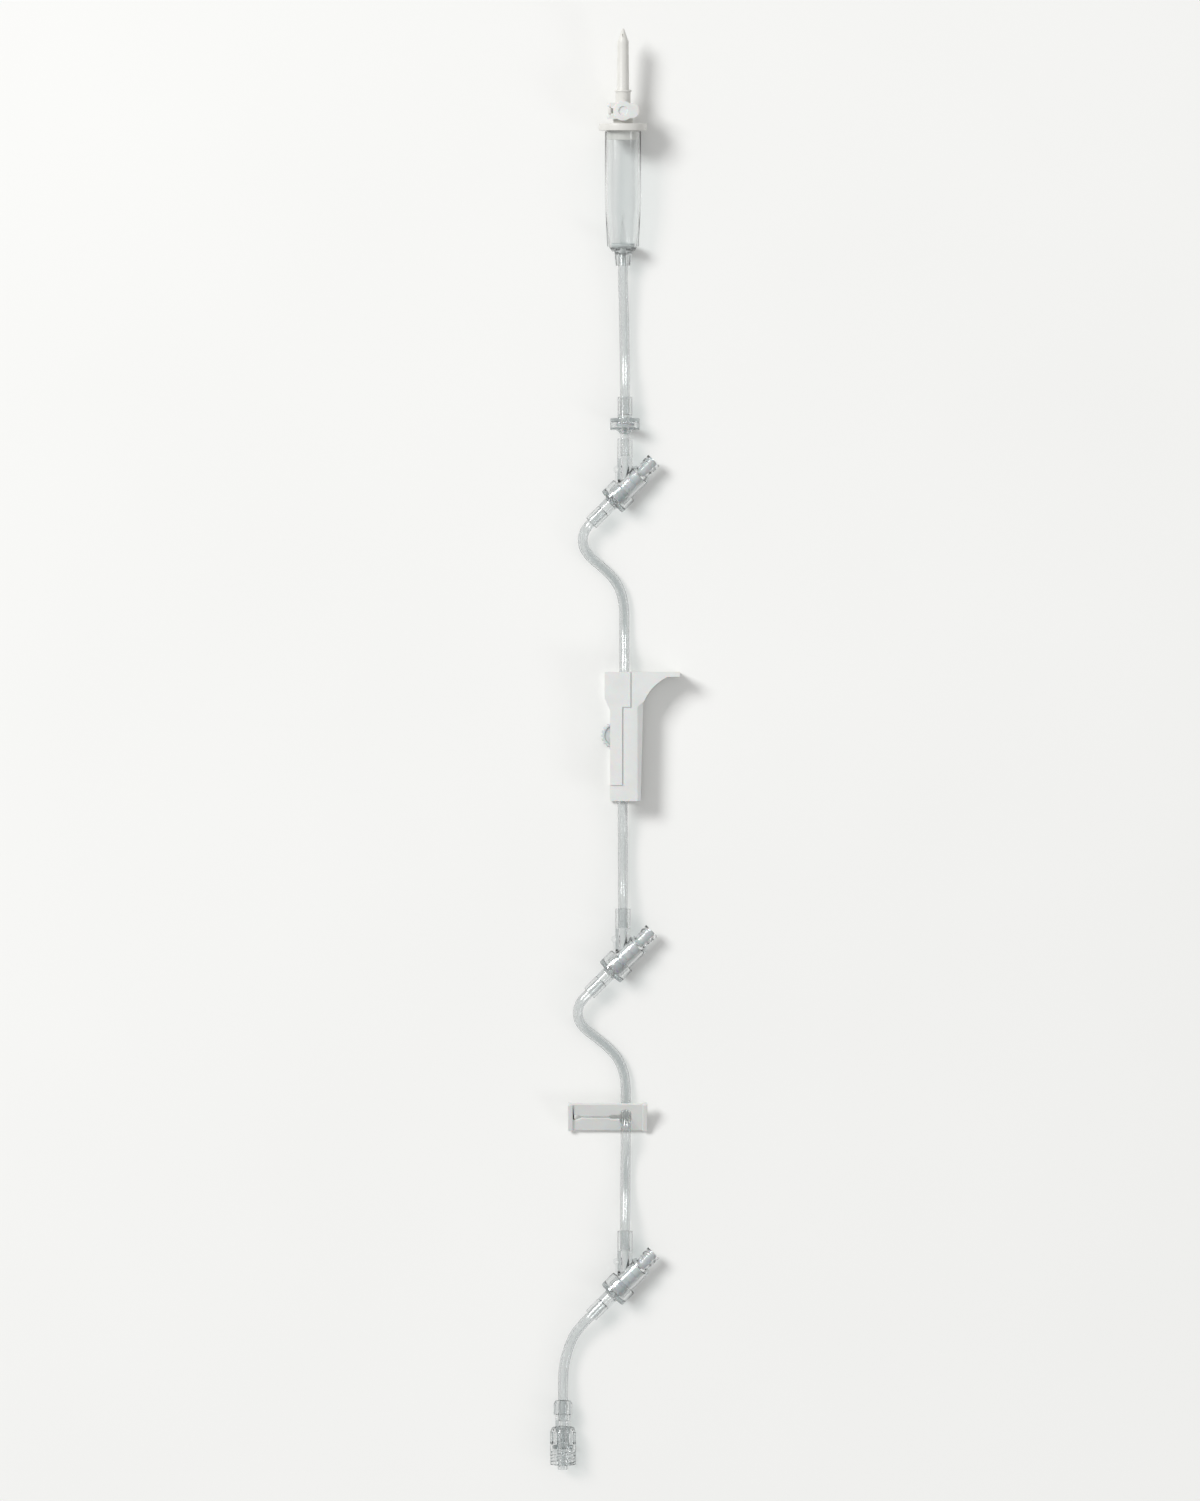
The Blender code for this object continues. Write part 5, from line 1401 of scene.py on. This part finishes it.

# Greyer than the track as a painted shade of the wheel, given as polyethylene without pigment; milkier, with
# the same mould grain
natural_polyethylene_and_painted_shade = polyethylene(
    "moulded_natural_polyethylene_and_painted_shade", "#CDD2D2", "#C2C8C8", milkiness=0.3
)


def grip_teeth(radius, height, angle):
    """Rounded teeth across the rim, which run out on its bevels."""
    if radius < TEETH_FROM_R:
        return radius
    tooth = 0.5 + 0.5 * math.cos(ROLLER_TEETH * angle)
    return radius - TOOTH_DEPTH * (1 - eased(tooth * TOOTH_CROWN))


half_wheel = [
    (PIN_R, PIN_END),
    (PIN_R, ROLLER_HALF),
    (DISH_HUB_R, ROLLER_HALF),
    (DISH_HUB_R + DISH_SLOPE, ROLLER_HALF - DISH_DEPTH),
    (DISH_R - DISH_SLOPE, ROLLER_HALF - DISH_DEPTH),
    (DISH_R, ROLLER_HALF),
    (ROLLER_R - ROLLER_BEVEL[0], ROLLER_HALF),
    (ROLLER_R, ROLLER_HALF - ROLLER_BEVEL[1]),
]
wheel_profile = [(0, -PIN_END)] + [(radius, -height) for radius, height in half_wheel]
wheel_profile += half_wheel[::-1] + [(0, PIN_END)]
wheel = turned("roller_wheel", wheel_profile, steps=200, rounding=ROLLER_ROUNDING, ripple=grip_teeth)
roller_axle = clamp_corner @ placed(ROLLER_X, ROLLER_UP, 0)
dressed(wheel, roller_axle, natural_polyethylene_and_painted_shade, "roller")

# Slide clamp
# Flat white polyethylene plate with a thick rim across each end, moulded in one piece. The tube runs free
# through the round hole, and is shut when the plate is pushed across so that it enters the narrow slot.
SLIDE_PLACE = (4.3, -146.9, 3.923)
SLIDE_TILT = 28
SLIDE_LEFT = -23.1
SLIDE_RIGHT = 8.64
SLIDE_HALF_WIDTH = 6.1
PLATE_HALF = 0.6
RIM_HALF = 1.2
RIM_WIDTH = 1.9
HOLE_R = 2.3
HOLE_STRETCH = 1.3
SLOT_CUT_HALF = 3.0
SLOT_WIDE = 1.1
SLOT_PINCH = 0.3
SLOT_END = -21.0
SLOT_PINCH_LEFT = -17.6
SLOT_PINCH_RIGHT = -7.0
SLOT_TAPER = 1.3
PLATE_EDGE = 0.22

slide_lower = [
    (SLIDE_LEFT, -RIM_HALF),
    (SLIDE_LEFT + RIM_WIDTH, -RIM_HALF),
    (SLIDE_LEFT + RIM_WIDTH, -PLATE_HALF),
    (SLIDE_RIGHT - RIM_WIDTH, -PLATE_HALF),
    (SLIDE_RIGHT - RIM_WIDTH, -RIM_HALF),
    (SLIDE_RIGHT, -RIM_HALF),
]
slide_section = slide_lower + [(x, -z) for x, z in reversed(slide_lower)]
plate = slab("slide_clamp_plate", slide_section, -SLIDE_HALF_WIDTH, SLIDE_HALF_WIDTH)
moved(plate, rotated(90, "X"))
slot_upper = [
    (SLOT_END, SLOT_WIDE / 2),
    (SLOT_END + SLOT_WIDE / 2, SLOT_WIDE),
    (SLOT_PINCH_LEFT - SLOT_TAPER, SLOT_WIDE),
    (SLOT_PINCH_LEFT, SLOT_PINCH),
    (SLOT_PINCH_RIGHT, SLOT_PINCH),
    (SLOT_PINCH_RIGHT + SLOT_TAPER, SLOT_WIDE),
]
join = 180 - math.degrees(math.asin((SLOT_WIDE - HOLE_STRETCH) / HOLE_R))
slot_upper += arc((0, HOLE_STRETCH), HOLE_R, join, 0, steps=28)
slot_outline = slot_upper + [(x, -y) for x, y in reversed(slot_upper)]
worked(plate, "DIFFERENCE", slab("slide_slot", slot_outline, -SLOT_CUT_HALF, SLOT_CUT_HALF))
rounded_edges(plate, PLATE_EDGE)
slide_hole = placed(*SLIDE_PLACE, [(SLIDE_TILT, "X")])
dressed(plate, slide_hole, white_polyethylene, "slide_clamp")

# Male luer and its lock collar
# Moulded clear acrylic: a luer cone with a hub disc, a sleeve and a bell for the tube, all one piece, and a
# collar that turns freely on the hub disc, with a two-start thread inside and grip ribs on its upper half.
LUER_PLACE = (-20.8, -287.88, 5.12)
LUER_BORE_R = 1.2
LUER_TIP_R = 2.1
LUER_CONE_R = 2.3
LUER_CONE = 7.5
HUB_DISC_R = 4.2
HUB_DISC_FOOT = 8.4
HUB_DISC_TOP = 9.6
HUB_SLEEVE_R = 3.05
BELL_R = 3.7
BELL_FOOT = 21.9
BELL_TOP = 27.6
BELL_CHAMFER = 1.2
BELL_MOUTH_R = 2.9
BELL_SOCKET = 19.5
LOCK_R = 5.12
LOCK_FOOT = 1.88
LOCK_TOP = 16.96
LOCK_CEILING = 15.96
LOCK_CHAMFER = 1.8
LOCK_SHOULDER_R = 4.3
LOCK_NECK_R = 3.7
LOCK_THREAD_R = 3.9
LOCK_THREAD_FOOT = LOCK_FOOT + 0.4
LOCK_LEAD_IN = 0.3
LOCK_CREST_R = 3.45
LOCK_GROOVE_R = 4.5
LOCK_GROOVE_FOOT = 8.1
LOCK_THREAD_TOP = LOCK_GROOVE_FOOT - 0.2
LOCK_GROOVE_TOP = 9.9
LOCK_HOLE_R = 3.35
LOCK_RIBS = 14
LOCK_RIB_DEPTH = 0.4
LOCK_RIB_FOOT = 10.2
LOCK_RIB_TOP = 15.16
LOCK_RIB_RUN_IN = 0.5
LOCK_RIB_RUN_OUT = 0.3
LOCK_RIB_RINGS = 14
FURROW_SLOPE = 1.6
FURROW_START = 0.3
LOCK_RINGS = 44
LOCK_EDGE = 0.25
LOCK_TOP_EDGE = 0.1

luer_axis = placed(*LUER_PLACE, [(-90, "X")])
luer_profile = [
    (LUER_BORE_R, 0),
    (LUER_TIP_R, 0),
    (LUER_CONE_R, LUER_CONE),
    (LUER_CONE_R, HUB_DISC_FOOT),
    (HUB_DISC_R, HUB_DISC_FOOT),
    (HUB_DISC_R, HUB_DISC_TOP),
    (HUB_SLEEVE_R, HUB_DISC_TOP),
    (HUB_SLEEVE_R, BELL_FOOT),
    (BELL_R, BELL_FOOT),
    (BELL_R, BELL_TOP - BELL_CHAMFER),
    (BELL_MOUTH_R, BELL_TOP),
    (SOCKET_R, BELL_TOP),
    (SOCKET_R, BELL_SOCKET),
    (LUER_BORE_R, BELL_SOCKET),
]
luer = turned("male_luer_moulding", luer_profile, steps=72, rounding=MOULD_ROUNDING)
dressed(luer, luer_axis, polished_acrylic, "male_luer")

inner_thread = thread(LOCK_THREAD_R, LOCK_CREST_R, LOCK_THREAD_FOOT, LOCK_THREAD_TOP)


def collar_relief(radius, height, angle):
    """Grip ribs on the upper half of the collar's outside, and the thread inside its lower half."""
    if radius != LOCK_R:
        return inner_thread(radius, height, angle)
    depth = eased((height - LOCK_RIB_FOOT) / LOCK_RIB_RUN_IN)
    depth *= eased((LOCK_RIB_TOP - height) / LOCK_RIB_RUN_OUT)
    furrow = eased((0.5 - 0.5 * math.cos(LOCK_RIBS * angle)) * FURROW_SLOPE - FURROW_START)
    return radius - LOCK_RIB_DEPTH * depth * furrow


collar_profile = [
    (LOCK_THREAD_R + LOCK_LEAD_IN, LOCK_FOOT),
    (LOCK_R - LOCK_EDGE, LOCK_FOOT),
    (LOCK_R, LOCK_FOOT + LOCK_EDGE),
]
rib_heights = stations(LOCK_RIB_FOOT, LOCK_TOP - LOCK_CHAMFER, LOCK_RIB_RINGS)
collar_profile += [(LOCK_R, height) for height in rib_heights]
collar_profile += [
    (LOCK_SHOULDER_R + LOCK_TOP_EDGE, LOCK_TOP - 2 * LOCK_TOP_EDGE),
    (LOCK_SHOULDER_R - LOCK_TOP_EDGE, LOCK_TOP),
    (LOCK_HOLE_R, LOCK_TOP),
    (LOCK_HOLE_R, LOCK_CEILING),
    (LOCK_NECK_R, LOCK_CEILING),
    (LOCK_NECK_R, LOCK_GROOVE_TOP),
    (LOCK_GROOVE_R, LOCK_GROOVE_TOP),
    (LOCK_GROOVE_R, LOCK_GROOVE_FOOT),
]
thread_heights = stations(LOCK_GROOVE_FOOT, LOCK_FOOT + LOCK_LEAD_IN, LOCK_RINGS)
collar_profile += [(LOCK_THREAD_R, height) for height in thread_heights]
collar = turned("luer_collar_shell", collar_profile, steps=168, ripple=collar_relief)
dressed(collar, luer_axis, polished_acrylic, "luer_collar")
